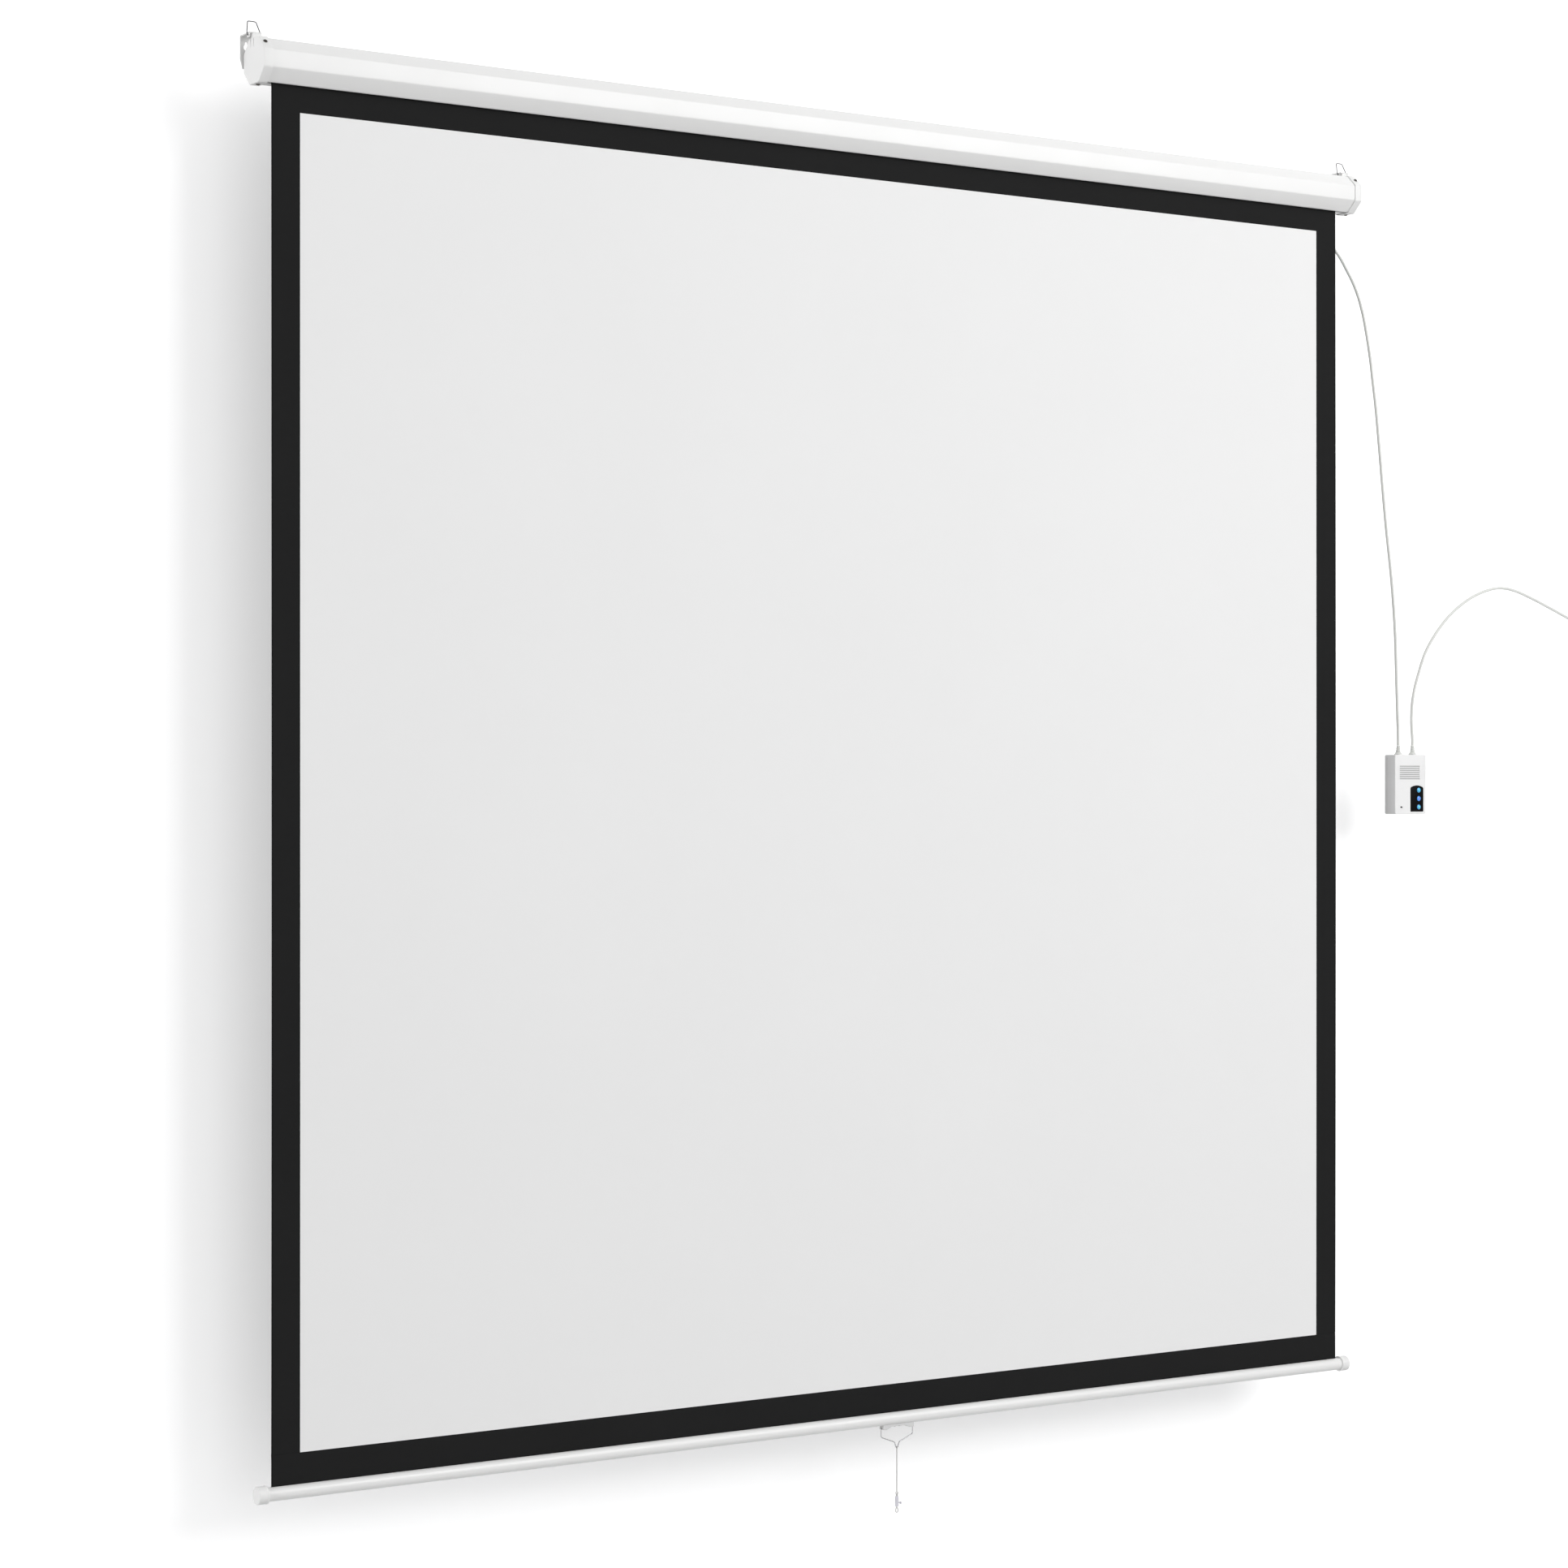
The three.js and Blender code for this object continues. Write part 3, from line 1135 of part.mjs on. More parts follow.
function coilPoint(turn) {
  const r = coilOuterR - coilPitch * (reverse - Math.abs(turn - reverse));
  const climb = THREE.MathUtils.clamp((turn - climbStart) / coilClimbTurns, 0, 1);
  const angle = Math.PI / 2 - 2 * Math.PI * turn;
  return axis(
    coilStartX + r * Math.cos(angle), reliefY + coilPitch * climb, coilCentreZ + r * Math.sin(angle),
  );
}

function makeCoil() {
  const count = Math.round(coilTurns * coilSteps);
  const centres = Array.from({ length: count + 1 }, (_, i) => coilPoint((i / count) * coilTurns));
  const last = centres[count];
  const entry = axis(coilStartX - leadSize, reliefY, coilStartZ);
  const path = [entry, ...centres, axis(last.x, last.y, last.z - leadSize)];
  const positions = [];
  const faces = [];
  const back = axis(0, 1, 0);
  path.forEach((centre, i) => {
    const along = path[Math.min(i + 1, path.length - 1)].clone().sub(path[Math.max(i - 1, 0)]);
    if (i === 0) along.set(1, 0, 0);
    if (i === path.length - 1) along.set(0, 0, -1);
    const out = new THREE.Vector3().crossVectors(back, along).normalize();
    for (let s = 0; s < coilSides; s += 1) {
      const angle = (2 * Math.PI * s) / coilSides;
      const spoke = out.clone().multiplyScalar(Math.cos(angle)).addScaledVector(back, Math.sin(angle));
      positions.push(...centre.clone().addScaledVector(spoke, leadSize / 2).toArray());
    }
  });
  for (let i = 0; i < path.length - 1; i += 1) {
    for (let s = 0; s < coilSides; s += 1) {
      const [a, b] = [i * coilSides + s, i * coilSides + ((s + 1) % coilSides)];
      faces.push(a, b, a + coilSides, b, b + coilSides, a + coilSides);
    }
  }
  const endRing = (path.length - 1) * coilSides;
  for (let s = 1; s < coilSides - 1; s += 1) {
    faces.push(0, s + 1, s, endRing, endRing + s, endRing + s + 1);
  }
  const geometry = new THREE.BufferGeometry();
  geometry.setAttribute('position', new THREE.Float32BufferAttribute(positions, 3));
  geometry.setIndex(faces);
  geometry.computeVertexNormals();
  addPiece('supply_coil', geometry, '#e6e7e4', 0.5);

  let least = Infinity;
  let length = 2 * leadSize;
  centres.forEach((centre, i) => {
    if (i > 0) length += centre.distanceTo(centres[i - 1]);
    centres.slice(i + coilSteps / 2).forEach((other) => {
      least = Math.min(least, centre.distanceTo(other) - leadSize);
    });
  });
  console.log(`least gap between the coil's turns ${least.toFixed(2)} mm`);
  return length;
}

function makeTie() {
  const turnsIn = reverse * coilPitch;
  const inner = coilOuterR - turnsIn - leadSize / 2 - 2 * fit;
  const room = leadSize / 2 + 2 * fit;
  const outer = coilOuterR + room;
  const [front, rear] = [reliefY - room, reliefY + coilPitch + room];
  const place = (r) => coilStartX - r;
  const hole = roundedRectangle(place(outer), place(inner), front, rear, leadSize / 2);
  const band = roundedRectangle(
    place(outer) - tieSheet, place(inner) + tieSheet, front - tieSheet, rear + tieSheet,
    leadSize / 2 + tieSheet,
  );
  const [low, high] = [coilCentreZ - tieWidth / 2, coilCentreZ + tieWidth / 2];
  const tie = cut(prismZ(band, low, high), prismZ(hole, low - overrun, high + overrun));
  addPiece('coil_tie', tie, '#2c2d2f', 0.7);
}

// Tail: the lead's last stretch, hanging from the coil to the plug
function makeTail() {
  const end = coilPoint(coilTurns);
  const top = axis(end.x, end.y, end.z - leadSize - fit);
  const line = new THREE.LineCurve3(top, axis(end.x, end.y, top.z - tailLength));
  const steps = Math.ceil(tailLength / (2 * leadSize));
  addPiece('supply_tail', tube(line, leadSize, leadSides, steps), '#e6e7e4', 0.5);
}

function makePlug() {
  const end = coilPoint(coilTurns);
  const top = end.z - leadSize - 2 * fit - tailLength;
  const foot = top - plugLength - plugNose;
  const outline = new THREE.Shape([
    [-leadSize, top], [-plugShoulder, top - plugNose], [-plugWidth / 2, top - plugNose - plugShoulder],
    [-plugWidth / 2, foot + plugCorner], [plugCorner - plugWidth / 2, foot],
    [plugWidth / 2 - plugCorner, foot],
    [plugWidth / 2, foot + plugCorner], [plugWidth / 2, top - plugNose - plugShoulder],
    [plugShoulder, top - plugNose], [leadSize, top],
  ].map(([x, z]) => new THREE.Vector2(end.x + x, z)).reverse());
  const body = prismY(outline, end.y - plugThickness / 2, end.y + plugThickness / 2, plugEdge);
  addPiece('plug_body', body, '#e2e3e0', 0.5);
  [-1, 1].forEach((side, i) => {
    const r = pinSize / 2;
    const start = foot - fit;
    const tip = start - pinLength;
    const profile = [[0, tip], [r * pinTipShare, tip], [r, tip + r], [r, start], [0, start]];
    const pin = turnedZ(profile, end.x + (side * pinPitch) / 2, end.y, smallSides);
    addPiece(`plug_pin_${i + 1}`, pin, '#b9bbbd', 0.25, 1);
  });
}

makeCasing();
for (const [name, side] of ends) {
  makeEndCap(name, side);
  makeBracket(name, side);
  makeBail(name, side);
  for (const spot of screwSpots) {
    addPiece(`${name}_${spot.name}_screw`, capScrew(side, spot), '#3a3833', 0.4, 0.8);
  }
}
makeRoller();
makeMotor();
makeCloth();
makeBar();
makeHandle();
makePullCord();
makeBoxFront();
makeBoxBack();
makeKeypad();
makeElectronics();
makeReliefs();
makeGland();
const motorLeadLength = makeMotorLead();
const supplyLength = makeSupplyLead() + makeCoil() + tailLength;
makeTie();
makeTail();
makePlug();
console.log(`motor lead ${motorLeadLength.toFixed(0)} mm, supply lead ${supplyLength.toFixed(0)} mm`);
console.log(`cloth plane Y ${clothY.toFixed(2)}`);
console.log(`roller axis Y ${rollerY.toFixed(2)} Z ${rollerZ.toFixed(2)}`);
console.log(`handle pivot Z ${pivotZ.toFixed(2)}, bail pivot Z ${bailPivotZ.toFixed(2)}`);
console.log(`hem line Z ${hemLine.toFixed(2)}`);

export default group;
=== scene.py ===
import math

import bmesh
import bpy
from mathutils import Matrix, Vector


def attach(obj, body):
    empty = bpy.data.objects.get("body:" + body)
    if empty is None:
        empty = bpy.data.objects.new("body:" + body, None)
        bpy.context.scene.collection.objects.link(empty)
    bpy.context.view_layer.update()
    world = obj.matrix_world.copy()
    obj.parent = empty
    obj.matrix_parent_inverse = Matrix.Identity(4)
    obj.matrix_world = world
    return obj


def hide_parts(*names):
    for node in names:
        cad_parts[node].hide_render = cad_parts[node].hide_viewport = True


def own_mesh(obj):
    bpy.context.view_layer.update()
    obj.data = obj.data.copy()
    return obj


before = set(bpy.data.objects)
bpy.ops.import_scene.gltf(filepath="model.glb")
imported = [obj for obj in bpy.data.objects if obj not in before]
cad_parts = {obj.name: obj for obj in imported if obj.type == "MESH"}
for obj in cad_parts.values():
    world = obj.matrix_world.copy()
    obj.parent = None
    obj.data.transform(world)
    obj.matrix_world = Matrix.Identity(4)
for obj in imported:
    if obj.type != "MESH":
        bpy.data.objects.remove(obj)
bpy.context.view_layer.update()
mm = 0.001  # the measures of pieces are in millimetres; those of camera, stage and lamps are in metres


# Camera: level, looking along the screen from its left

cameraView = {"lens": 80.124, "place": (-3.15279, -4.60463, -1.0560), "turn": -33.411}


def makeCamera():
    data = bpy.data.cameras.new("camera")
    data.lens = cameraView["lens"]
    data.sensor_width = 36
    data.clip_end = 60
    camera = bpy.data.objects.new("camera", data)
    bpy.context.collection.objects.link(camera)
    camera.location = cameraView["place"]
    camera.rotation_euler = (math.radians(90), 0, math.radians(cameraView["turn"]))
    bpy.context.scene.camera = camera
    bpy.context.scene.view_settings.view_transform = "Standard"


makeCamera()
print("camera set")


# Shader node groups, one for each effect that several finishes share

def newGroup(name, inputs, outputs):
    group = bpy.data.node_groups.new(name, "ShaderNodeTree")
    for label, value in inputs:
        socket = group.interface.new_socket(label, in_out="INPUT", socket_type="NodeSocketFloat")
        socket.default_value = value
    for label in outputs:
        group.interface.new_socket(label, in_out="OUTPUT", socket_type="NodeSocketFloat")
    return group, group.nodes.new("NodeGroupInput"), group.nodes.new("NodeGroupOutput")


def mathNode(tree, operation, first, second=None, clamp=False):
    node = tree.nodes.new("ShaderNodeMath")
    node.operation = operation
    node.use_clamp = clamp
    for socket, value in zip(node.inputs, (first, second)):
        if value is None:
            continue
        if isinstance(value, (int, float)):
            socket.default_value = value
        else:
            tree.links.new(value, socket)
    return node.outputs[0]


# Fine moulded or sprayed grain: a height for bump, and a tone around 0.5 for colour and roughness
def makeGrainGroup():
    group, enter, leave = newGroup("fineGrain", [("Scale", 900.0), ("Cloud Scale", 9.0)], ["Height", "Tone"])
    place = group.nodes.new("ShaderNodeTexCoord")
    fine = group.nodes.new("ShaderNodeTexNoise")
    cloud = group.nodes.new("ShaderNodeTexNoise")
    fine.inputs["Detail"].default_value = 3
    cloud.inputs["Detail"].default_value = 4
    for node, label in ((fine, "Scale"), (cloud, "Cloud Scale")):
        group.links.new(place.outputs["Object"], node.inputs["Vector"])
        group.links.new(enter.outputs[label], node.inputs["Scale"])
    group.links.new(fine.outputs["Fac"], leave.inputs["Height"])
    blend = mathNode(group, "MULTIPLY", fine.outputs["Fac"], 0.35)
    rest = mathNode(group, "MULTIPLY", cloud.outputs["Fac"], 0.65)
    group.links.new(mathNode(group, "ADD", blend, rest), leave.inputs["Tone"])
    return group


# Plain weave: two crossed threads, over and under in turn, with uneven yarn
def makeWeaveGroup():
    group, enter, leave = newGroup("clothWeave", [("Threads", 1200.0), ("Slub", 0.3)], ["Height", "Tone"])
    place = group.nodes.new("ShaderNodeTexCoord")
    split = group.nodes.new("ShaderNodeSeparateXYZ")
    group.links.new(place.outputs["Object"], split.inputs[0])
    turn = mathNode(group, "MULTIPLY", enter.outputs["Threads"], math.pi)
    waves = []
    for label in ("X", "Z"):
        phase = mathNode(group, "MULTIPLY", split.outputs[label], turn)
        waves.append(mathNode(group, "SINE", phase))
    crossed = mathNode(group, "MULTIPLY", waves[0], waves[1])
    lifted = mathNode(group, "MULTIPLY_ADD", crossed, 0.5)
    lifted.node.inputs[2].default_value = 0.5
    slub = group.nodes.new("ShaderNodeTexNoise")
    slub.inputs["Scale"].default_value = 60
    slub.inputs["Detail"].default_value = 5
    group.links.new(place.outputs["Object"], slub.inputs["Vector"])
    uneven = mathNode(group, "MULTIPLY", slub.outputs["Fac"], enter.outputs["Slub"])
    group.links.new(mathNode(group, "ADD", lifted, uneven), leave.inputs["Height"])
    group.links.new(mathNode(group, "MULTIPLY_ADD", uneven, 0.6), leave.inputs["Tone"])
    return group


# Drawn or rolled metal: streaks along X, with a little cloudiness
def makeDrawnGroup():
    group, enter, leave = newGroup("drawnMetal", [("Across", 1800.0), ("Along", 12.0)], ["Height", "Tone"])
    place = group.nodes.new("ShaderNodeTexCoord")
    split = group.nodes.new("ShaderNodeSeparateXYZ")
    join = group.nodes.new("ShaderNodeCombineXYZ")
    group.links.new(place.outputs["Object"], split.inputs[0])
    for label, source in (("X", "Along"), ("Y", "Across"), ("Z", "Across")):
        scaled = mathNode(group, "MULTIPLY", split.outputs[label], enter.outputs[source])
        group.links.new(scaled, join.inputs[label])
    streak = group.nodes.new("ShaderNodeTexNoise")
    streak.inputs["Scale"].default_value = 1
    streak.inputs["Detail"].default_value = 2
    group.links.new(join.outputs[0], streak.inputs["Vector"])
    group.links.new(streak.outputs["Fac"], leave.inputs["Height"])
    group.links.new(streak.outputs["Fac"], leave.inputs["Tone"])
    return group


groups = {"grain": makeGrainGroup(), "weave": makeWeaveGroup(), "drawn": makeDrawnGroup()}


# Finishes

def newFinish(name, color, roughness, metallic=0.0, specular=0.5, sheen=0.0, coat=0.0):
    material = bpy.data.materials.new(name)
    material.use_nodes = True
    shader = material.node_tree.nodes["Principled BSDF"]
    shader.inputs["Base Color"].default_value = (*color, 1)
    for label, value in (
        ("Roughness", roughness), ("Metallic", metallic), ("Specular IOR Level", specular),
        ("Sheen Weight", sheen), ("Coat Weight", coat),
    ):
        shader.inputs[label].default_value = value
    material.diffuse_color = (*color, 1)
    return material, material.node_tree, shader


def useGroup(tree, kind, **values):
    node = tree.nodes.new("ShaderNodeGroup")
    node.node_tree = groups[kind]
    for label, value in values.items():
        node.inputs[label.replace("_", " ")].default_value = value
    return node


def mapped(tree, value, low, high, fromLow=0.3, fromHigh=0.7):
    node = tree.nodes.new("ShaderNodeMapRange")
    tree.links.new(value, node.inputs["Value"])
    for label, number in (("From Min", fromLow), ("From Max", fromHigh), ("To Min", low), ("To Max", high)):
        node.inputs[label].default_value = number
    return node.outputs["Result"]


def tinted(tree, value, shader, darkTone, lightTone):
    ramp = tree.nodes.new("ShaderNodeValToRGB")
    ramp.color_ramp.elements[0].position = 0.3
    ramp.color_ramp.elements[1].position = 0.7
    ramp.color_ramp.elements[0].color = (*darkTone, 1)
    ramp.color_ramp.elements[1].color = (*lightTone, 1)
    tree.links.new(value, ramp.inputs["Fac"])
    tree.links.new(ramp.outputs["Color"], shader.inputs["Base Color"])


def bumped(tree, height, shader, strength, distance):
    bump = tree.nodes.new("ShaderNodeBump")
    bump.inputs["Strength"].default_value = strength
    bump.inputs["Distance"].default_value = distance * mm
    tree.links.new(height, bump.inputs["Height"])
    tree.links.new(bump.outputs["Normal"], shader.inputs["Normal"])


def shade(color, share):
    return tuple(part * share for part in color)


# A moulded, sprayed or drawn finish: grain in the bump, and a slight change of tone and gloss
def makeGrained(name, settings):
    color = settings["color"]
    rough = settings["roughness"]
    material, tree, shader = newFinish(
        name, color, rough, settings.get("metallic", 0), settings.get("specular", 0.5),
    )
    kind = settings.get("kind", "grain")
    values = {"Scale" if kind == "grain" else "Across": settings["scale"]}
    group = useGroup(tree, kind, **values)
    spread = settings["spread"]
    tinted(tree, group.outputs["Tone"], shader, shade(color, 1 - spread), shade(color, 1 + spread))
    swing = settings.get("roughSwing", 0.08)
    gloss = mapped(tree, group.outputs["Tone"], rough - swing, rough + swing)
    tree.links.new(gloss, shader.inputs["Roughness"])
    bumped(tree, group.outputs["Height"], shader, settings["bump"], settings["depth"])
    return material


grainedFinishes = {
    "enamel": {
        "color": (0.79, 0.79, 0.785), "roughness": 0.34, "scale": 700, "spread": 0.012, "bump": 0.05,
        "depth": 0.03,
    },
    "capPlastic": {
        "color": (0.80, 0.80, 0.795), "roughness": 0.5, "scale": 2600, "spread": 0.014, "bump": 0.2,
        "depth": 0.04,
    },
    "boxPlastic": {
        "color": (0.82, 0.82, 0.82), "roughness": 0.46, "scale": 3200, "spread": 0.014, "bump": 0.22,
        "depth": 0.035,
    },
    # Grey of the sheet behind the louvres: painted shade for the dark insides of the slots
    "louvreShadeGrey": {
        "color": (0.50, 0.50, 0.50), "roughness": 0.6, "scale": 2600, "spread": 0.05, "bump": 0.25,
        "depth": 0.04,
    },
    # The brackets' white enamel, made darker than the casing's: painted shade for the shade behind the end
    # caps
    "shadedBracketEnamel": {
        "color": (0.69, 0.69, 0.685), "roughness": 0.4, "scale": 700, "spread": 0.015, "bump": 0.05,
        "depth": 0.03,
    },
    "clipPlastic": {
        "color": (0.64, 0.64, 0.64), "roughness": 0.42, "scale": 3000, "spread": 0.04, "bump": 0.2,
        "depth": 0.03,
    },
    "togglePlastic": {
        "color": (0.65, 0.645, 0.70), "roughness": 0.38, "scale": 3000, "spread": 0.04, "bump": 0.2,
        "depth": 0.03,
    },
    "blackPlastic": {
        "color": (0.02, 0.02, 0.022), "roughness": 0.55, "scale": 2400, "spread": 0.2, "bump": 0.25,
        "depth": 0.05,
    },
    "leadSheath": {
        "color": (0.68, 0.69, 0.665), "roughness": 0.48, "scale": 1500, "spread": 0.03, "bump": 0.15,
        "depth": 0.05,
    },
    "bailWire": {
        "kind": "drawn", "color": (0.12, 0.12, 0.125), "roughness": 0.3, "metallic": 1, "scale": 2200,
        "spread": 0.12, "bump": 0.1, "depth": 0.02,
    },
    "handleWire": {
        "kind": "drawn", "color": (0.42, 0.42, 0.425), "roughness": 0.27, "metallic": 1, "scale": 2200,
        "spread": 0.1, "bump": 0.1, "depth": 0.02,
    },
    "darkScrew": {
        "color": (0.09, 0.083, 0.075), "roughness": 0.3, "metallic": 1, "scale": 1800, "spread": 0.25,
        "bump": 0.15, "depth": 0.03,
    },
    "zincSteel": {
        "kind": "drawn", "color": (0.57, 0.58, 0.59), "roughness": 0.38, "metallic": 1, "scale": 900,
        "spread": 0.14, "bump": 0.12, "depth": 0.05, "roughSwing": 0.1,
    },
    "pinMetal": {
        "color": (0.68, 0.67, 0.655), "roughness": 0.18, "metallic": 1, "scale": 1800, "spread": 0.06,
        "bump": 0.05, "depth": 0.02, "roughSwing": 0.04,
    },
    "keypadFilm": {
        "color": (0.0015, 0.0015, 0.0018), "roughness": 0.32, "scale": 2600, "spread": 0.3, "bump": 0.1,
        "depth": 0.02, "specular": 0.1,
    },
    "boardGreen": {
        "color": (0.025, 0.14, 0.055), "roughness": 0.35, "scale": 1400, "spread": 0.2, "bump": 0.2,
        "depth": 0.05,
    },
    "terminalGreen": {
        "color": (0.04, 0.26, 0.10), "roughness": 0.42, "scale": 2200, "spread": 0.1, "bump": 0.2,
        "depth": 0.03,
    },
    "relayBlue": {
        "color": (0.02, 0.10, 0.42), "roughness": 0.4, "scale": 2200, "spread": 0.1, "bump": 0.2,
        "depth": 0.03,
    },
    "indicatorLens": {
        "color": (0.035, 0.03, 0.032), "roughness": 0.15, "scale": 1800, "spread": 0.2, "bump": 0.05,
        "depth": 0.01,
    },
}


# Sealed side edges of the cloth: a darker line, with a faint paler one inside it
def edged(tree, shader, settings):
    place = tree.nodes.new("ShaderNodeTexCoord")
    split = tree.nodes.new("ShaderNodeSeparateXYZ")
    tree.links.new(place.outputs["Object"], split.inputs[0])
    middle, half = (settings["left"] + settings["right"]) / 2, (settings["right"] - settings["left"]) / 2
    off = mathNode(tree, "ABSOLUTE", mathNode(tree, "SUBTRACT", split.outputs["X"], middle * mm))
    inward = mathNode(tree, "SUBTRACT", half * mm, off)
    share = mathNode(tree, "DIVIDE", inward, settings["reach"] * mm, clamp=True)
    ramp = tree.nodes.new("ShaderNodeValToRGB")
    steps = ramp.color_ramp.elements
    for at, _ in settings["tones"][2:]:
        steps.new(at)
    for step, (at, tone) in zip(steps, settings["tones"]):
        step.position = at
        step.color = (tone, tone, tone, 1)
    tree.links.new(share, ramp.inputs["Fac"])
    mix = tree.nodes.new("ShaderNodeMix")
    mix.data_type = "RGBA"
    mix.blend_type = "MULTIPLY"
    mix.inputs[0].default_value = 1
    base = shader.inputs["Base Color"].links[0].from_socket
    tree.links.new(base, mix.inputs[6])
    tree.links.new(ramp.outputs["Color"], mix.inputs[7])
    tree.links.new(mix.outputs[2], shader.inputs["Base Color"])


# Screen cloth: woven glass cloth under a matt coating
def makeClothFinish(name, settings):
    color = settings["color"]
    rough = settings["roughness"]
    specular, sheen = settings["specular"], settings["sheen"]
    material, tree, shader = newFinish(name, color, rough, specular=specular, sheen=sheen)
    shader.inputs["Sheen Roughness"].default_value = 0.6
    weave = useGroup(tree, "weave", Threads=settings["threads"], Slub=settings["slub"])
    grain = useGroup(tree, "grain", Scale=settings["scale"], Cloud_Scale=settings["cloud"])
    spread = settings["spread"]
    tinted(tree, grain.outputs["Tone"], shader, shade(color, 1 - spread), shade(color, 1 + spread))
    if "selvage" in settings:
        edged(tree, shader, settings["selvage"])
    half = mathNode(tree, "MULTIPLY", grain.outputs["Height"], 0.5)
    both = mathNode(tree, "ADD", weave.outputs["Height"], half)
    bumped(tree, both, shader, settings["bump"], settings["depth"])
    gloss = mapped(tree, weave.outputs["Height"], rough - 0.06, rough + 0.06, 0, 1.3)
    tree.links.new(gloss, shader.inputs["Roughness"])
    return material


clothFinishes = {
    "borderCloth": {
        "color": (0.0125, 0.0127, 0.0129), "roughness": 0.78, "specular": 0.12, "sheen": 0.0, "threads": 900,
        "slub": 0.35, "scale": 1500, "cloud": 5, "spread": 0.08, "bump": 0.25, "depth": 0.06,
        "selvage": {
            "left": -1022, "right": 1008, "reach": 8,  # the cloth's two sides, and how far in the tones run
            "tones": [(0.0, 0.42), (0.30, 0.42), (0.42, 1.0), (0.55, 0.8)],  # shares of reach and of colour
        },
    },
    "screenCoating": {
        "color": (0.81, 0.81, 0.81), "roughness": 0.9, "specular": 0.2, "sheen": 0.0, "threads": 1300,
        "slub": 0.2, "scale": 2200, "cloud": 3, "spread": 0.008, "bump": 0.12, "depth": 0.03,
    },
    "cordYarn": {
        "color": (0.60, 0.60, 0.585), "roughness": 0.8, "specular": 0.25, "sheen": 0.25, "threads": 3500,
        "slub": 0.4, "scale": 3500, "cloud": 60, "spread": 0.08, "bump": 0.4, "depth": 0.06,
    },
}


# Buttons: a blue dome with a painted glow, which gives off faint light and is lighter, cooler or warmer in
# the middle
def makeButtonFinish(name, rim, middle, centre, glowReach):
    material, tree, shader = newFinish(name, rim, 0.16, coat=0.6)
    place = tree.nodes.new("ShaderNodeTexCoord")
    shift = tree.nodes.new("ShaderNodeVectorMath")
    shift.operation = "DISTANCE"
    shift.inputs[1].default_value = Vector(centre) * mm
    tree.links.new(place.outputs["Object"], shift.inputs[0])
    ramp = tree.nodes.new("ShaderNodeValToRGB")
    ramp.color_ramp.elements[0].color = (*middle, 1)
    ramp.color_ramp.elements[1].color = (*rim, 1)
    ramp.color_ramp.elements[0].position = 0.15
    ramp.color_ramp.elements[1].position = 0.75
    reach = mathNode(tree, "MULTIPLY", shift.outputs["Value"], 1 / (glowReach * mm))
    grain = useGroup(tree, "grain", Scale=1600, Cloud_Scale=300)
    uneven = mathNode(tree, "MULTIPLY_ADD", grain.outputs["Tone"], 0.3)
    uneven.node.inputs[2].default_value = -0.15
    tree.links.new(mathNode(tree, "ADD", reach, uneven), ramp.inputs["Fac"])
    tree.links.new(ramp.outputs["Color"], shader.inputs["Base Color"])
    # Painted glow: the lens gives off faint light in its ramp's colours, most in its lighter middle
    tree.links.new(ramp.outputs["Color"], shader.inputs["Emission Color"])
    shader.inputs["Emission Strength"].default_value = 0.1
    bumped(tree, grain.outputs["Height"], shader, 0.06, 0.02)
    return material


finishes = {name: makeGrained(name, settings) for name, settings in grainedFinishes.items()}
finishes.update({name: makeClothFinish(name, settings) for name, settings in clothFinishes.items()})
print("finishes made", len(finishes))


# Mesh helpers

def link(name, mesh):
    piece = bpy.data.objects.new(name, mesh)
    bpy.context.collection.objects.link(piece)
    return piece


def meshPiece(name, points, faces):
    mesh = bpy.data.meshes.new(name)
    mesh.from_pydata([Vector(p) * mm for p in points], [], faces)
    work = bmesh.new()
    work.from_mesh(mesh)
    bmesh.ops.remove_doubles(work, verts=work.verts, dist=1e-7)
    bmesh.ops.recalc_face_normals(work, faces=work.faces)
    work.to_mesh(mesh)
    work.free()
    return link(name, mesh)


# Skin over rings with the same number of points, closed by a face at each end
def loft(name, rings):
    count = len(rings[0])
    points = [p for ring in rings for p in ring]
    faces = []
    for i in range(len(rings) - 1):
        a, b = i * count, (i + 1) * count
        for k in range(count):
            n = (k + 1) % count
            faces.append((a + k, a + n, b + n, b + k))
    faces.append(tuple(reversed(range(count))))
    faces.append(tuple(range((len(rings) - 1) * count, len(rings) * count)))
    return meshPiece(name, points, faces)


placers = {
    "X": lambda a, b, along: (along, a, b),
    "Y": lambda a, b, along: (a, along, b),
    "Z": lambda a, b, along: (a, b, along),
}


def prism(name, outline, axis, low, high):
    return loft(name, [[placers[axis](a, b, along) for a, b in outline] for along in (low, high)])


def block(name, x0, x1, y0, y1, z0, z1):
    return prism(name, [(x0, y0), (x1, y0), (x1, y1), (x0, y1)], "Z", z0, z1)


# Angles in radians from one number of degrees to another, with both ends
def sweep(first, last, steps):
    return [math.radians(first + (last - first) * k / steps) for k in range(steps + 1)]


# Outline with each corner rounded over the given reach
def softened(outline, reaches, steps=5):
    made = []
    for i, corner in enumerate(outline):
        reach = reaches[i] if isinstance(reaches, (list, tuple)) else reaches
        here = Vector(corner)
        if reach == 0:
            made.append(tuple(here))
            continue
        before, after = Vector(outline[i - 1]), Vector(outline[(i + 1) % len(outline)])
        start = here + (before - here).normalized() * min(reach, (before - here).length * 0.49)
        end = here + (after - here).normalized() * min(reach, (after - here).length * 0.49)
        for k in range(steps + 1):
            t = k / steps
            made.append(tuple(start * (1 - t) ** 2 + here * 2 * t * (1 - t) + end * t * t))
    return made


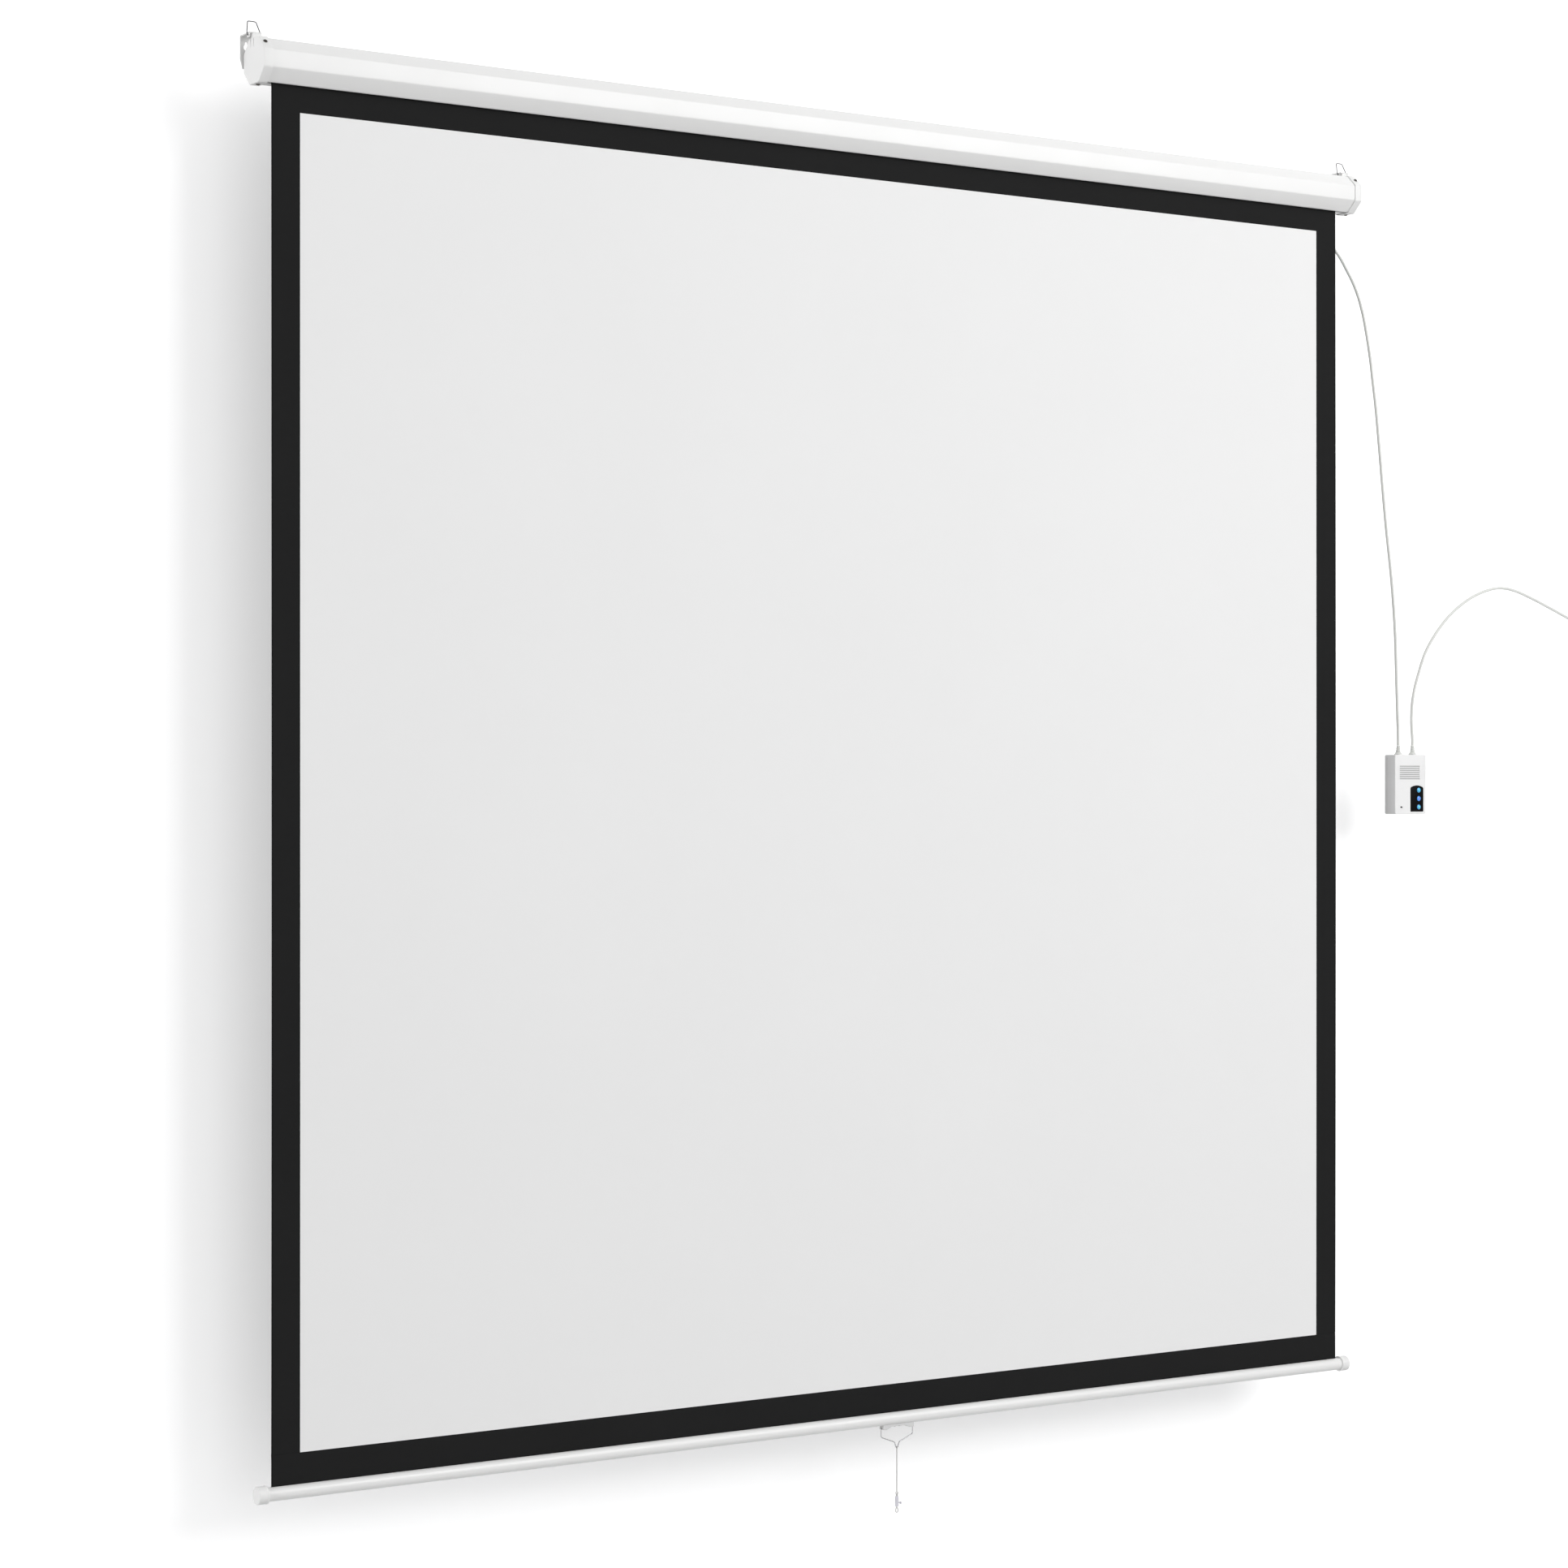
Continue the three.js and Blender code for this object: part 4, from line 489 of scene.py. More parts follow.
# Outline moved inward by an amount, or outward where the amount is negative
def inset(outline, amount):
    made = []
    area = sum(a[0] * b[1] - b[0] * a[1] for a, b in zip(outline, outline[1:] + outline[:1]))
    side = 1 if area > 0 else -1
    for i, corner in enumerate(outline):
        before, after = Vector(outline[i - 1]), Vector(outline[(i + 1) % len(outline)])
        here = Vector(corner)
        into = (here - before).normalized()
        away = (after - here).normalized()
        normal = Vector((-(into.y + away.y), into.x + away.x)).normalized() * side
        lean = max(0.5, normal.dot(Vector((-into.y, into.x)) * side))
        made.append(tuple(here + normal * amount / lean))
    return made


# Prism whose two ends may have a rounded edge
def softPrism(name, outline, axis, low, high, lowEdge=0, highEdge=0, steps=4):
    rings = []
    for k in range(steps + 1):
        if lowEdge == 0 and k:
            break
        angle = math.pi / 2 * k / steps
        ring = inset(outline, lowEdge * (1 - math.sin(angle))) if lowEdge else outline
        rings.append((ring, low + lowEdge * (1 - math.cos(angle))))
    for k in range(steps + 1):
        if highEdge == 0 and k:
            break
        angle = math.pi / 2 * (1 - k / steps)
        ring = inset(outline, highEdge * (1 - math.sin(angle))) if highEdge else outline
        rings.append((ring, high - highEdge * (1 - math.cos(angle))))
    return loft(name, [[placers[axis](a, b, along) for a, b in ring] for ring, along in rings])


# Rectangle with round corners, from its lower right corner and anticlockwise
def roundedBox(x0, x1, y0, y1, radius, steps=8):
    made = []
    left, right, low, high = x0 + radius, x1 - radius, y0 + radius, y1 - radius
    for cx, cy, start in ((right, low, -90), (right, high, 0), (left, high, 90), (left, low, 180)):
        for angle in sweep(start, start + 90, steps):
            made.append((cx + radius * math.cos(angle), cy + radius * math.sin(angle)))
    return made


def circle(cx, cy, radius, sides=48):
    return [(cx + radius * math.cos(a), cy + radius * math.sin(a)) for a in sweep(0, 360, sides)[:-1]]


# Turned piece from a profile of (radius, along)
def turned(name, profile, axis, centre, sides=48):
    rings = []
    for radius, along in profile:
        r = max(radius, 1e-3)  # a point on the axis stays a tiny ring
        rings.append([placers[axis](centre[0] + a, centre[1] + b, along) for a, b in circle(0, 0, r, sides)])
    return loft(name, rings)


# A piece cut by its tools, or joined with them
def combine(piece, tools, operation="DIFFERENCE"):
    for tool in tools:
        change = piece.modifiers.new("combine", "BOOLEAN")
        change.operation = operation
        change.object = tool
        change.solver = "EXACT"
    bpy.context.view_layer.update()
    graph = bpy.context.evaluated_depsgraph_get()
    mesh = bpy.data.meshes.new_from_object(piece.evaluated_get(graph))
    piece.modifiers.clear()
    piece.data = mesh
    for tool in tools:
        bpy.data.objects.remove(tool)


# Last steps of a piece: smooth faces, rounded edges, its finish, what it rides on and what it stands for
def place(piece, finish, body, slot, nodes=(), edge=0, segments=2, edgeAngle=50, smooth=40):
    if piece.type == "MESH":
        piece.data.shade_smooth()
        piece.data.set_sharp_from_angle(angle=math.radians(smooth))
        if edge:
            bevel = piece.modifiers.new("edges", "BEVEL")
            bevel.width = edge * mm
            bevel.segments = segments
            bevel.limit_method = "ANGLE"
            bevel.angle_limit = math.radians(edgeAngle)
            bevel.harden_normals = True
            bevel.use_clamp_overlap = True
    piece.data.materials.clear()
    piece.data.materials.append(finishes[finish])
    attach(piece, body)
    if nodes:
        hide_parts(*nodes)
    return piece


def wire(name, points, size, closed=False, resolution=5):
    curve = bpy.data.curves.new(name, "CURVE")
    curve.dimensions = "3D"
    curve.bevel_depth = size / 2 * mm
    curve.bevel_resolution = resolution
    curve.use_fill_caps = True
    spline = curve.splines.new("POLY")
    spline.points.add(len(points) - 1)
    for point, here in zip(spline.points, points):
        point.co = (*(Vector(here) * mm), 1)
    spline.use_cyclic_u = closed
    spline.use_smooth = True
    return link(name, curve)


# Points of a bent wire: each corner is rounded over its own reach
def bentPath(corners, reaches, steps=8):
    made = [Vector(corners[0])]
    for i in range(1, len(corners) - 1):
        before, here, after = Vector(corners[i - 1]), Vector(corners[i]), Vector(corners[i + 1])
        reach = min(reaches[i - 1], (here - before).length / 2, (after - here).length / 2)
        start = here + (before - here).normalized() * reach
        end = here + (after - here).normalized() * reach
        for k in range(steps + 1):
            t = k / steps
            made.append(start * (1 - t) ** 2 + here * 2 * t * (1 - t) + end * t * t)
    made.append(Vector(corners[-1]))
    return made


# Smooth run through given points, the same centripetal curve as the part's own
def smoothRun(points, steps=10):
    path = [Vector(p) for p in points]
    ends = [path[0] * 2 - path[1], *path, path[-1] * 2 - path[-2]]
    made = []
    for i in range(len(path) - 1):
        p0, p1, p2, p3 = ends[i:i + 4]
        d0, d1, d2 = (max((b - a).length, 1e-6) ** 0.5 for a, b in ((p0, p1), (p1, p2), (p2, p3)))
        t1 = ((p1 - p0) / d0 - (p2 - p0) / (d0 + d1) + (p2 - p1) / d1) * d1
        t2 = ((p2 - p1) / d1 - (p3 - p1) / (d1 + d2) + (p3 - p2) / d2) * d1
        square, cube = p2 * 3 - p1 * 3 - t1 * 2 - t2, p1 * 2 - p2 * 2 + t1 + t2
        for k in range(steps):
            t = k / steps
            made.append(p1 + t1 * t + square * t ** 2 + cube * t ** 3)
    made.append(path[-1])
    return made


# Leads, coil and pull cord

motorLead = {
    "diameter": 5,
    "route": [
        (985, -30, -64.7), (985, -30, -74.7), (989, -30, -88), (997, -30, -100), (1009, -30, -110.5),
        (1023, -29.8, -121.5), (1036, -29.5, -134.7), (1052, -29, -155.3), (1063.8, -28.7, -171.5),
        (1074.5, -28.4, -189.7), (1083.7, -28, -210.2), (1092, -27.5, -234.4), (1100.3, -26.9, -266.4),
        (1108.7, -26.2, -304), (1115.8, -25.4, -345.8), (1123.1, -24.6, -387.2), (1149.9, -20.9, -587),
        (1167.5, -18.8, -701.6), (1176.8, -17.2, -788), (1182.5, -15.3, -889), (1186.4, -13.9, -950),
        (1187.75, -13.5, -977.4), (1187.75, -13.5, -987.4),
    ],
}
supplyLead = {
    "diameter": 5,
    "route": [
        (1222.25, -13.5, -987.4), (1222.25, -13.5, -977.4), (1219.8, -13.5, -937.3), (1224.4, -13.5, -897),
        (1236.6, -13.5, -859.1), (1254.6, -13.5, -818.9), (1282.1, -13.5, -782.4), (1318.9, -13.5, -747.9),
        (1365.1, -13.5, -719.7), (1408.7, -13.5, -703.8), (1440, -13.5, -699), (1474.5, -13.5, -702.4),
        (1522.2, -13.5, -716.3), (1570, -13.5, -733.2), (1613.5, -13.5, -749.2), (1638, -13.5, -758.5),
        (1657, -13.5, -765), (1667, -13.5, -765),
    ],
    "tail": 42.56,
}
# The coil winds inward in one layer, climbs to a second layer in its middle, and winds outward again
coil = {
    "start": (1672, -13.5, -765), "pitch": 5.5, "mean": 60, "turns": 5.25, "climb": 0.5, "steps": 40,
    "drop": 5.6,  # straight stretch between the last turn and the tail
}
climbStart = (coil["turns"] - coil["climb"] + 0.25) / 2
coilMiddle = climbStart + coil["climb"] / 2
coilOuter = coil["mean"] / 2 + coil["pitch"] * coilMiddle / 2


def coilPoint(turn):
    r = coilOuter - coil["pitch"] * (coilMiddle - abs(turn - coilMiddle))
    up = min(max((turn - climbStart) / coil["climb"], 0), 1)
    angle = math.pi / 2 - 2 * math.pi * turn
    x, y, z = coil["start"]
    return Vector((x + r * math.cos(angle), y + coil["pitch"] * up, z - coilOuter + r * math.sin(angle)))


def makeMotorLead():
    piece = wire("motorLead", smoothRun(motorLead["route"]), motorLead["diameter"])
    return place(piece, "leadSheath", "housing", "lead_white", ["motor_lead"])


def makeSupplyLead():
    settings = supplyLead
    count = round(coil["turns"] * coil["steps"])
    turns = [coilPoint(coil["turns"] * k / count) for k in range(count + 1)]
    tail = [turns[-1] + Vector((0, 0, -(coil["drop"] + settings["tail"]) * k / 8)) for k in range(1, 9)]
    points = smoothRun(settings["route"]) + turns + tail
    piece = wire("supplyLead", points, settings["diameter"])
    return place(piece, "leadSheath", "housing", "lead_white", ["supply_lead", "supply_coil", "supply_tail"])


pullCord = {
    "diameter": 2, "length": 70, "place": (70.5, -45.875), "top": -2117.9, "lay": 7.5, "strands": 3,
    "sides": 8,
    "swell": 1.12,  # how much thicker a strand is than one that would only touch its neighbours
}


# Twisted string: three strands laid round each other
def makePullCord():
    settings = pullCord
    x, y = settings["place"]
    strandR = settings["diameter"] / 2 / (1 + 2 / math.sqrt(3)) * settings["swell"]
    ringR = settings["diameter"] / 2 - strandR
    sides, steps = settings["sides"], 96
    points, faces = [], []
    for strand in range(settings["strands"]):
        base = len(points)
        for i in range(steps + 1):
            along = settings["length"] * i / steps
            angle = 2 * math.pi * (along / settings["lay"] + strand / settings["strands"])
            ring = circle(x + ringR * math.cos(angle), y + ringR * math.sin(angle), strandR, sides)
            points += [(a, b, settings["top"] - along) for a, b in ring]
        for i in range(steps):
            for k in range(sides):
                a, b = base + i * sides + k, base + i * sides + (k + 1) % sides
                faces.append((a, b, b + sides, a + sides))
        faces.append(tuple(base + k for k in range(sides)))
        faces.append(tuple(base + steps * sides + k for k in reversed(range(sides))))
    piece = meshPiece("pullCord", points, faces)
    return place(piece, "cordYarn", "pull_handle", "white_string", ["pull_cord"], smooth=60)


leads = {"motor": makeMotorLead(), "supply": makeSupplyLead(), "pull": makePullCord()}
print("leads made")


# Casing, end caps, brackets, bails and their screws

housing = {
    "endX": 1045.65,
    "casing": {"depth": 65.4, "height": 62.6, "chamfer": 18.5, "wall": 1.2, "end": 1042.35, "bend": 1.6},
    "cap": {"depth": 69, "height": 66.2, "chamfer": 19.55, "rim": 14.5, "face": 3, "edge": 1.1, "bend": 2.2},
    "axis": (-38.5, -24.8), "slot": (-50.375, -41.375), "lip": 3.5,
    "gland": (985, -30, 8.0),  # place across and in depth, and the bore
}


# Eight-sided outline round the roller's axis, as (depth, height) points
def octagonPoints(depth, height, chamfer):
    h, v = depth / 2, height / 2
    y, z = housing["axis"]
    corners = [(-h, chamfer - v), (chamfer - h, -v), (h - chamfer, -v), (h, chamfer - v), (h, v - chamfer),
               (h - chamfer, v), (chamfer - h, v), (-h, v - chamfer)]
    return [(y + a, z + b) for a, b in corners]


# Casing: an eight-sided extrusion, open below between two lips where the cloth leaves it
def makeCasing():
    shape = housing["casing"]
    wall = shape["wall"]
    outer = octagonPoints(shape["depth"], shape["height"], shape["chamfer"])
    inner = inset(outer, wall)
    bottom = outer[1][1]
    front, rear = housing["slot"]
    top = bottom + wall + housing["lip"]
    order = [2, 3, 4, 5, 6, 7, 0, 1]
    outline = [(rear, bottom), *(outer[i] for i in order)]
    outline += [(front, bottom), (front, top), (front - wall, top), (front - wall, bottom + wall)]
    outline += [inner[i] for i in reversed(order)]
    outline += [(rear + wall, bottom + wall), (rear + wall, top), (rear, top)]
    bend = shape["bend"]
    reaches = [0.5] + [bend] * 8 + [0.5, 0.5, 0.5, 0.3] + [bend * 0.6] * 8 + [0.3, 0.5, 0.5]
    piece = prism("casing", softened(outline, reaches), "X", -shape["end"], shape["end"])
    x, y, bore = housing["gland"]
    hole = prism("hole", circle(x, y, bore / 2), "Z", bottom - 2, bottom + wall + 2)
    combine(piece, [hole])
    place(piece, "enamel", "housing", "white_enamel", ["casing"], smooth=50)


seat = {"length": 12.2, "top": 14.6, "foot": 7.4, "front": -36, "rear": -29.55}  # block under each bracket
slits = {
    "front": -38.9, "length": 12.5, "width": 2.6, "foot": 1.0, "slant": 0.8, "pitch": 9.6, "drop": 0.9,
    "depth": 1.4,
}
capFront = housing["axis"][0] - housing["cap"]["depth"] / 2
capTop = housing["axis"][1] + housing["cap"]["height"] / 2
chamferHalf = housing["cap"]["chamfer"] / 2
screwSpots = {
    "upper": {"y": capFront + chamferHalf, "z": capTop - chamferHalf, "tilt": 45},
    "lower": {"y": housing["axis"][0], "z": capTop - housing["cap"]["height"], "tilt": 180},
}
screwShape = {
    "head": 6.4, "edge": 0.6, "rise": 2.0, "shank": 2.6, "length": 5.5, "taper": 1.4, "inset": 6.5,
    "hole": 3.2, "recess": 3.4, "recessDepth": 1.3, "recessTurn": 20, "blade": 0.8,
}


def screwMatrix(side, spot):
    x = side * (housing["endX"] - screwShape["inset"])
    at = Matrix.Translation(Vector((x, spot["y"], spot["z"])) * mm)
    return at @ Matrix.Rotation(math.radians(spot["tilt"]), 4, "X")


def makeSeat(name, side):
    front, rear, foot, top = (seat[label] for label in ("front", "rear", "foot", "top"))
    outline = [(front, foot), (rear, foot), (rear, top), (front, top)]
    ends = (side * (housing["endX"] - seat["length"]), side * housing["endX"])
    piece = softPrism(name, softened(outline, 0.8), "X", min(ends), max(ends), 0.4, 0.4)
    place(piece, "capPlastic", "housing", "white_plastic")


# The right cap is made, and mirrored for the left one before its screw holes
def makeEndCap(name, side, node):
    shape, casing, end = housing["cap"], housing["casing"], housing["endX"]
    outer = softened(octagonPoints(shape["depth"], shape["height"], shape["chamfer"]), shape["bend"])
    rimIn = end - shape["rim"]
    piece = softPrism(name, outer, "X", rimIn, end, 0.3, shape["edge"])
    makeSeat(f"{name}Seat", side)
    socket = octagonPoints(casing["depth"] + 0.6, casing["height"] + 0.6, casing["chamfer"] + 0.18)
    tools = [prism("hollow", socket, "X", rimIn - 5, end - shape["face"])]
    high = capTop - slits["drop"]
    low = high - slits["length"]
    for i in range(2):
        y = slits["front"] + i * slits["pitch"]
        foot = y + slits["slant"]
        ends = [(y, high), (foot, low), (foot + slits["foot"], low), (y + slits["width"], high)]
        tools.append(prism("slit", softened(ends, [0.8, 0.3, 0.3, 0.8]), "X", end - slits["depth"], end + 2))
    combine(piece, tools)
    if side < 0:
        piece.data.transform(Matrix.Scale(-1, 4, (1, 0, 0)))
        piece.data.flip_normals()
    holes = []
    for spot in screwSpots.values():
        hole = prism("hole", circle(0, 0, screwShape["hole"] / 2, 24), "Z", -9, 3)
        hole.data.transform(screwMatrix(side, spot))
        holes.append(hole)
    combine(piece, holes)
    place(piece, "capPlastic", "housing", "white_plastic", [node], edge=0.25)


# Cap screw: a domed head with a cross recess that narrows toward its foot
def makeScrew(name, side, spot, node):
    shape = screwShape
    head, shank, foot = shape["head"] / 2, shape["shank"] / 2, -shape["length"]
    rise, edge = shape["rise"], shape["edge"]
    dome = [(head * math.cos(a), edge + (rise - edge) * math.sin(a)) for a in sweep(0, 90, 8)[:-1]]
    profile = [(0, foot), (shank * 0.4, foot), (shank, foot + shape["taper"]), (shank, edge / 2)]
    profile += [(head, edge / 2), *dome, (0, rise)]
    piece = turned(name, profile, "Z", (0, 0), 40)
    half = shape["blade"] / 2
    levels = ((0.45, rise - shape["recessDepth"]), (1, rise + edge))
    tools = []
    for turn in (0, 90):
        rings = []
        for share, z in levels:
            arm = shape["recess"] / 2 * share
            rings.append([(-arm, -half, z), (arm, -half, z), (arm, half, z), (-arm, half, z)])
        tool = loft("blade", rings)
        tool.data.transform(Matrix.Rotation(math.radians(turn + shape["recessTurn"]), 4, "Z"))
        tools.append(tool)
    combine(piece, tools)
    piece.data.transform(screwMatrix(side, spot))
    place(piece, "darkScrew", "housing", "dark_screw", [node], edge=0.08, segments=1, edgeAngle=40, smooth=30)


bracket = {
    "middle": 1040.45, "width": 18.6, "sheet": 2, "bend": 3, "top": 16.9, "tab": 34, "drop": 31,
    "taper": 14, "toe": 11, "bore": 8.2, "slot": 4.2, "slotRise": 8, "pivot": (-28, 12.6), "pivotBore": 2.1,
    "ear": 9, "earDrop": 4.6, "earSheet": 1.5, "earToe": 6.2, "earSlope": 0.6,
}
bail = {
    "wire": 1.5, "top": 13, "height": 23.2, "shoulder": 5.4, "bend": 2.6, "hook": 1.05, "lean": -20,
    "foot": 20.7, "inner": 7.3,
}


# One of the bracket's ears, seen along its pivot
def earOutline():
    y, z = bracket["pivot"]
    half, toe = bracket["ear"] / 2, bracket["earToe"] / 2
    root = bracket["top"] - bracket["sheet"] / 2
    foot = z - bracket["earDrop"] / 2 - bail["wire"]
    slope = foot + bracket["earSlope"]
    ear = [(y - half, root), (y - half, z - 0.5), (y - toe, slope), (y, foot)]
    ear += [(y + toe, slope), (y + half, z - 0.5), (y + half, root)]
    return softened(ear, [0, 1, 1, 1, 1, 1, 0])


# Bracket: sheet bent over the cap's top, with a keyhole for the wall screw and two ears for the bail
def makeBracket(name, side, node):
    shape = bracket
    sheet, bend, top = shape["sheet"], shape["bend"], shape["top"]
    middle = side * shape["middle"]
    low, high = middle - shape["width"] / 2, middle + shape["width"] / 2
    outer, inner = ([(-bend + r * math.sin(a), top - bend + r * math.cos(a)) for a in sweep(0, 90, 10)]
                    for r in (bend, bend - sheet))
    foot, tip = -shape["drop"], -shape["tab"]
    bent = [(tip, top - sheet), (tip, top), *outer, (0, foot), (-sheet, foot), *reversed(inner)]
    piece = prism(name, bent, "X", low, high)
    ear = shape["earSheet"]
    ears = [prism("ear", earOutline(), "X", x, x + ear) for x in (low, high - ear)]
    combine(piece, ears, "UNION")
    tools = []
    shoulder = shape["taper"] - shape["drop"]
    for outward in (-1, 1):
        edge = middle + outward * shape["width"] / 2
        toe = middle + outward * shape["toe"] / 2
        past = edge + outward * 3
        corner = [(edge, shoulder), (toe, foot), (toe, foot - 3), (past, foot - 3), (past, shoulder)]
        tools.append(prism("corner", corner, "Y", -6, 3))
    tools.append(prism("bore", circle(middle, 0, shape["bore"] / 2), "Y", -6, 3))
    half = shape["slot"] / 2
    slot = roundedBox(middle - half, middle + half, -2, shape["slotRise"], half - 0.01)
    tools.append(prism("slot", slot, "Y", -6, 3))
    tools.append(prism("pivot", circle(*shape["pivot"], shape["pivotBore"] / 2, 24), "X", low - 2, high + 2))
    combine(piece, tools)
    # The bracket's enamel is painted darker: painted shade for the shade behind the cap
    place(piece, "shadedBracketEnamel", "housing", "white_enamel", [node], edge=0.3, segments=3, edgeAngle=40)


# Bail: wire that leans back from its pivot, with both ends hooked into the ears
def makeBail(name, side, body, node):
    shape = bail
    foot, head, inner = shape["foot"] / 2, shape["top"] / 2, shape["inner"]
    corners = [(-inner, 0, 0), (-foot, 0, 0), (-foot, 0, shape["shoulder"]), (-head, 0, shape["height"]),
               (head, 0, shape["height"]), (foot, 0, shape["shoulder"]), (foot, 0, 0), (inner, 0, 0)]
    path = bentPath(corners, [shape["hook"], *[shape["bend"]] * 4, shape["hook"]])
    turn = Matrix.Rotation(math.radians(shape["lean"]), 4, "X")
    y, z = bracket["pivot"]
    at = Vector((side * bracket["middle"], y, z))
    piece = wire(name, [at + turn @ p for p in path], shape["wire"])
    place(piece, "bailWire", body, "steel_wire", [node])


def makeHousing():
    makeCasing()
    for name, side in (("left", -1), ("right", 1)):
        makeEndCap(f"{name}EndCap", side, f"{name}_end_cap")
        makeBracket(f"{name}Bracket", side, f"{name}_bracket")
        makeBail(f"{name}Bail", side, f"bail_{name}", f"{name}_bail")
        for spot, settings in screwSpots.items():
            makeScrew(f"{name}{spot.title()}Screw", side, settings, f"{name}_{spot}_screw")


makeHousing()
print("housing made")


# Screen cloth, its white field, the hem and the turns on the roller

cloth = {
    "left": -1022, "right": 1008, "top": -25.1, "foot": -2013.8, "hem": -2014.1, "y": -45.875,
    "thickness": 0.35, "border": 45, "fieldTop": -94.1, "fieldThickness": 0.3, "gap": 0.3, "hemLap": 2.4,
    "wave": 0.35, "curl": 0.9, "curlReach": 9,
}
bar = {
    "y": -45.875, "z": -2069.35, "radius": 10.25, "wall": 1, "slot": 2.4, "low": -1042.5, "high": 1028.5,
    "tips": {-1: -1045.4, 1: 1031.4}, "cap": 25.6, "capLength": 16, "capFace": 2.6, "lip": 26.6,
    "lipLength": 2.4,
}
rod = {"radius": 3, "play": 0.6}
rodZ = bar["z"] + bar["radius"] - bar["wall"] - rod["radius"] - rod["play"] - cloth["thickness"]
roll = {"y": -29.9, "z": -24.8, "outer": 15.95, "pitch": 0.5, "turns": 2, "steps": 96}


# Slight, long waves that fade out at the roller and at the bar, which both hold the cloth straight. They go
# forward only, away from the roller's turns and the hem's lap.
def waveAt(x, z):
    share = (cloth["top"] - z) / (cloth["top"] - cloth["hem"])
    hold = math.sin(math.pi * min(max(share, 0), 1)) ** 0.8
    long = math.sin(x / 310 + 0.7) * math.cos(z / 520) + 0.5 * math.sin(x / 140 + z / 700)
    edge = min(x - cloth["left"], cloth["right"] - x)
    curl = cloth["curl"] * math.exp(-max(edge, 0) / cloth["curlReach"])
    return -hold * (cloth["wave"] * (1.5 + long) + curl)


# Wavy sheet of even thickness, with its columns closer together toward both sides
def makeSheet(name, x0, x1, z0, z1, front, thickness, columns, rows):
    points, faces = [], []
    for back in (0, 1):
        for j in range(rows + 1):
            z = z0 + (z1 - z0) * j / rows
            for i in range(columns + 1):
                t = i / columns
                x = x0 + (x1 - x0) * (t - 0.35 * math.sin(2 * math.pi * t) / (2 * math.pi))
                points.append((x, front + back * thickness + waveAt(x, z), z))
    layer = (columns + 1) * (rows + 1)
    for j in range(rows):
        for i in range(columns):
            a = j * (columns + 1) + i
            face = (a, a + 1, a + columns + 2, a + columns + 1)
            faces.append(face)
            faces.append(tuple(reversed([k + layer for k in face])))
    ring = list(range(columns + 1))
    ring += [j * (columns + 1) + columns for j in range(1, rows + 1)]
    ring += [rows * (columns + 1) + i for i in reversed(range(columns))]
    ring += [j * (columns + 1) for j in reversed(range(1, rows))]
    for a, b in zip(ring, ring[1:] + ring[:1]):
        faces.append((b, a, a + layer, b + layer))
    return meshPiece(name, points, faces)


# Outline of a sheet of even thickness that follows a path
def thickOutline(path, thickness):
    front, back = [], []
    for i, here in enumerate(path):
        before, after = Vector(path[max(i - 1, 0)]), Vector(path[min(i + 1, len(path) - 1)])
        along = (after - before).normalized()
        normal = Vector((-along.y, along.x)) * thickness / 2
        front.append(tuple(Vector(here) + normal))
        back.append(tuple(Vector(here) - normal))
    return front + back[::-1]


# The cloth and its white field
def makeCloth():
    c = cloth
    face = c["y"] - c["thickness"] / 2
    sheet = makeSheet("screenCloth", c["left"], c["right"], c["top"], c["foot"], face, c["thickness"], 90, 60)
    place(sheet, "borderCloth", "housing", "black_cloth", ["screen_cloth"])
    field = makeSheet(
        "projectionField", c["left"] + c["border"], c["right"] - c["border"], c["fieldTop"], c["hem"],
        face - c["gap"] - c["fieldThickness"], c["fieldThickness"] + 0.2, 80, 56,
    )
    place(field, "screenCoating", "housing", "white_screen", ["projection_surface"])
    for piece in (sheet, field):
        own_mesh(piece)
    return sheet, field


def clothPrism(name, path, body, node):
    piece = prism(name, thickOutline(path, cloth["thickness"]), "X", cloth["left"], cloth["right"])
    return place(piece, "borderCloth", body, "black_cloth", [node])


# The hem's upper edge laps behind the cloth, and its foot turns round the rod in the bar
def makeHem():
    y, hem = cloth["y"], cloth["hem"]
    r = rod["radius"] + rod["play"] / 2 + cloth["thickness"] / 2
    start = math.degrees(math.asin(0.12))
    behind = y + cloth["thickness"] + 0.1
    path = [(behind, hem + cloth["hemLap"]), (behind, hem - 0.5), (y + 0.2, hem - 1.6)]
    path += [(y, hem - (hem - rodZ - r) * k / 6) for k in range(1, 7)]
    path += [(y + r * math.sin(a), rodZ + r * math.cos(a)) for a in sweep(start, 356 - start, 48)]
    return clothPrism("hemCloth", path, "bottom_bar", "hem_cloth")


# The turns that stay on the roller
def makeWound():
    count = roll["turns"] * roll["steps"]
    spiral = []
    for i in range(count + 1):
        back = (count - i) / roll["steps"]
        angle = math.pi - back * 2 * math.pi
        r = roll["outer"] - cloth["thickness"] / 2 - back * roll["pitch"]
        spiral.append((roll["y"] + r * math.cos(angle), roll["z"] + r * math.sin(angle)))
    return clothPrism("woundCloth", spiral, "roller", "wound_cloth")


screenCloth, projectionField = makeCloth()
hemCloth = makeHem()
woundCloth = makeWound()
print("cloth made")


# Bottom bar and pull handle

def makeBarTube():
    y, z, walls = bar["y"], bar["z"], []
    for r in (bar["radius"], bar["radius"] - bar["wall"]):
        lean = math.degrees(math.asin(bar["slot"] / 2 / r))
        walls.append([(y + r * math.sin(a), z + r * math.cos(a)) for a in sweep(lean, 360 - lean, 96)])
    piece = prism("barTube", walls[0] + walls[1][::-1], "X", bar["low"], bar["high"])
    place(piece, "enamel", "bottom_bar", "white_enamel", ["bar_tube"])


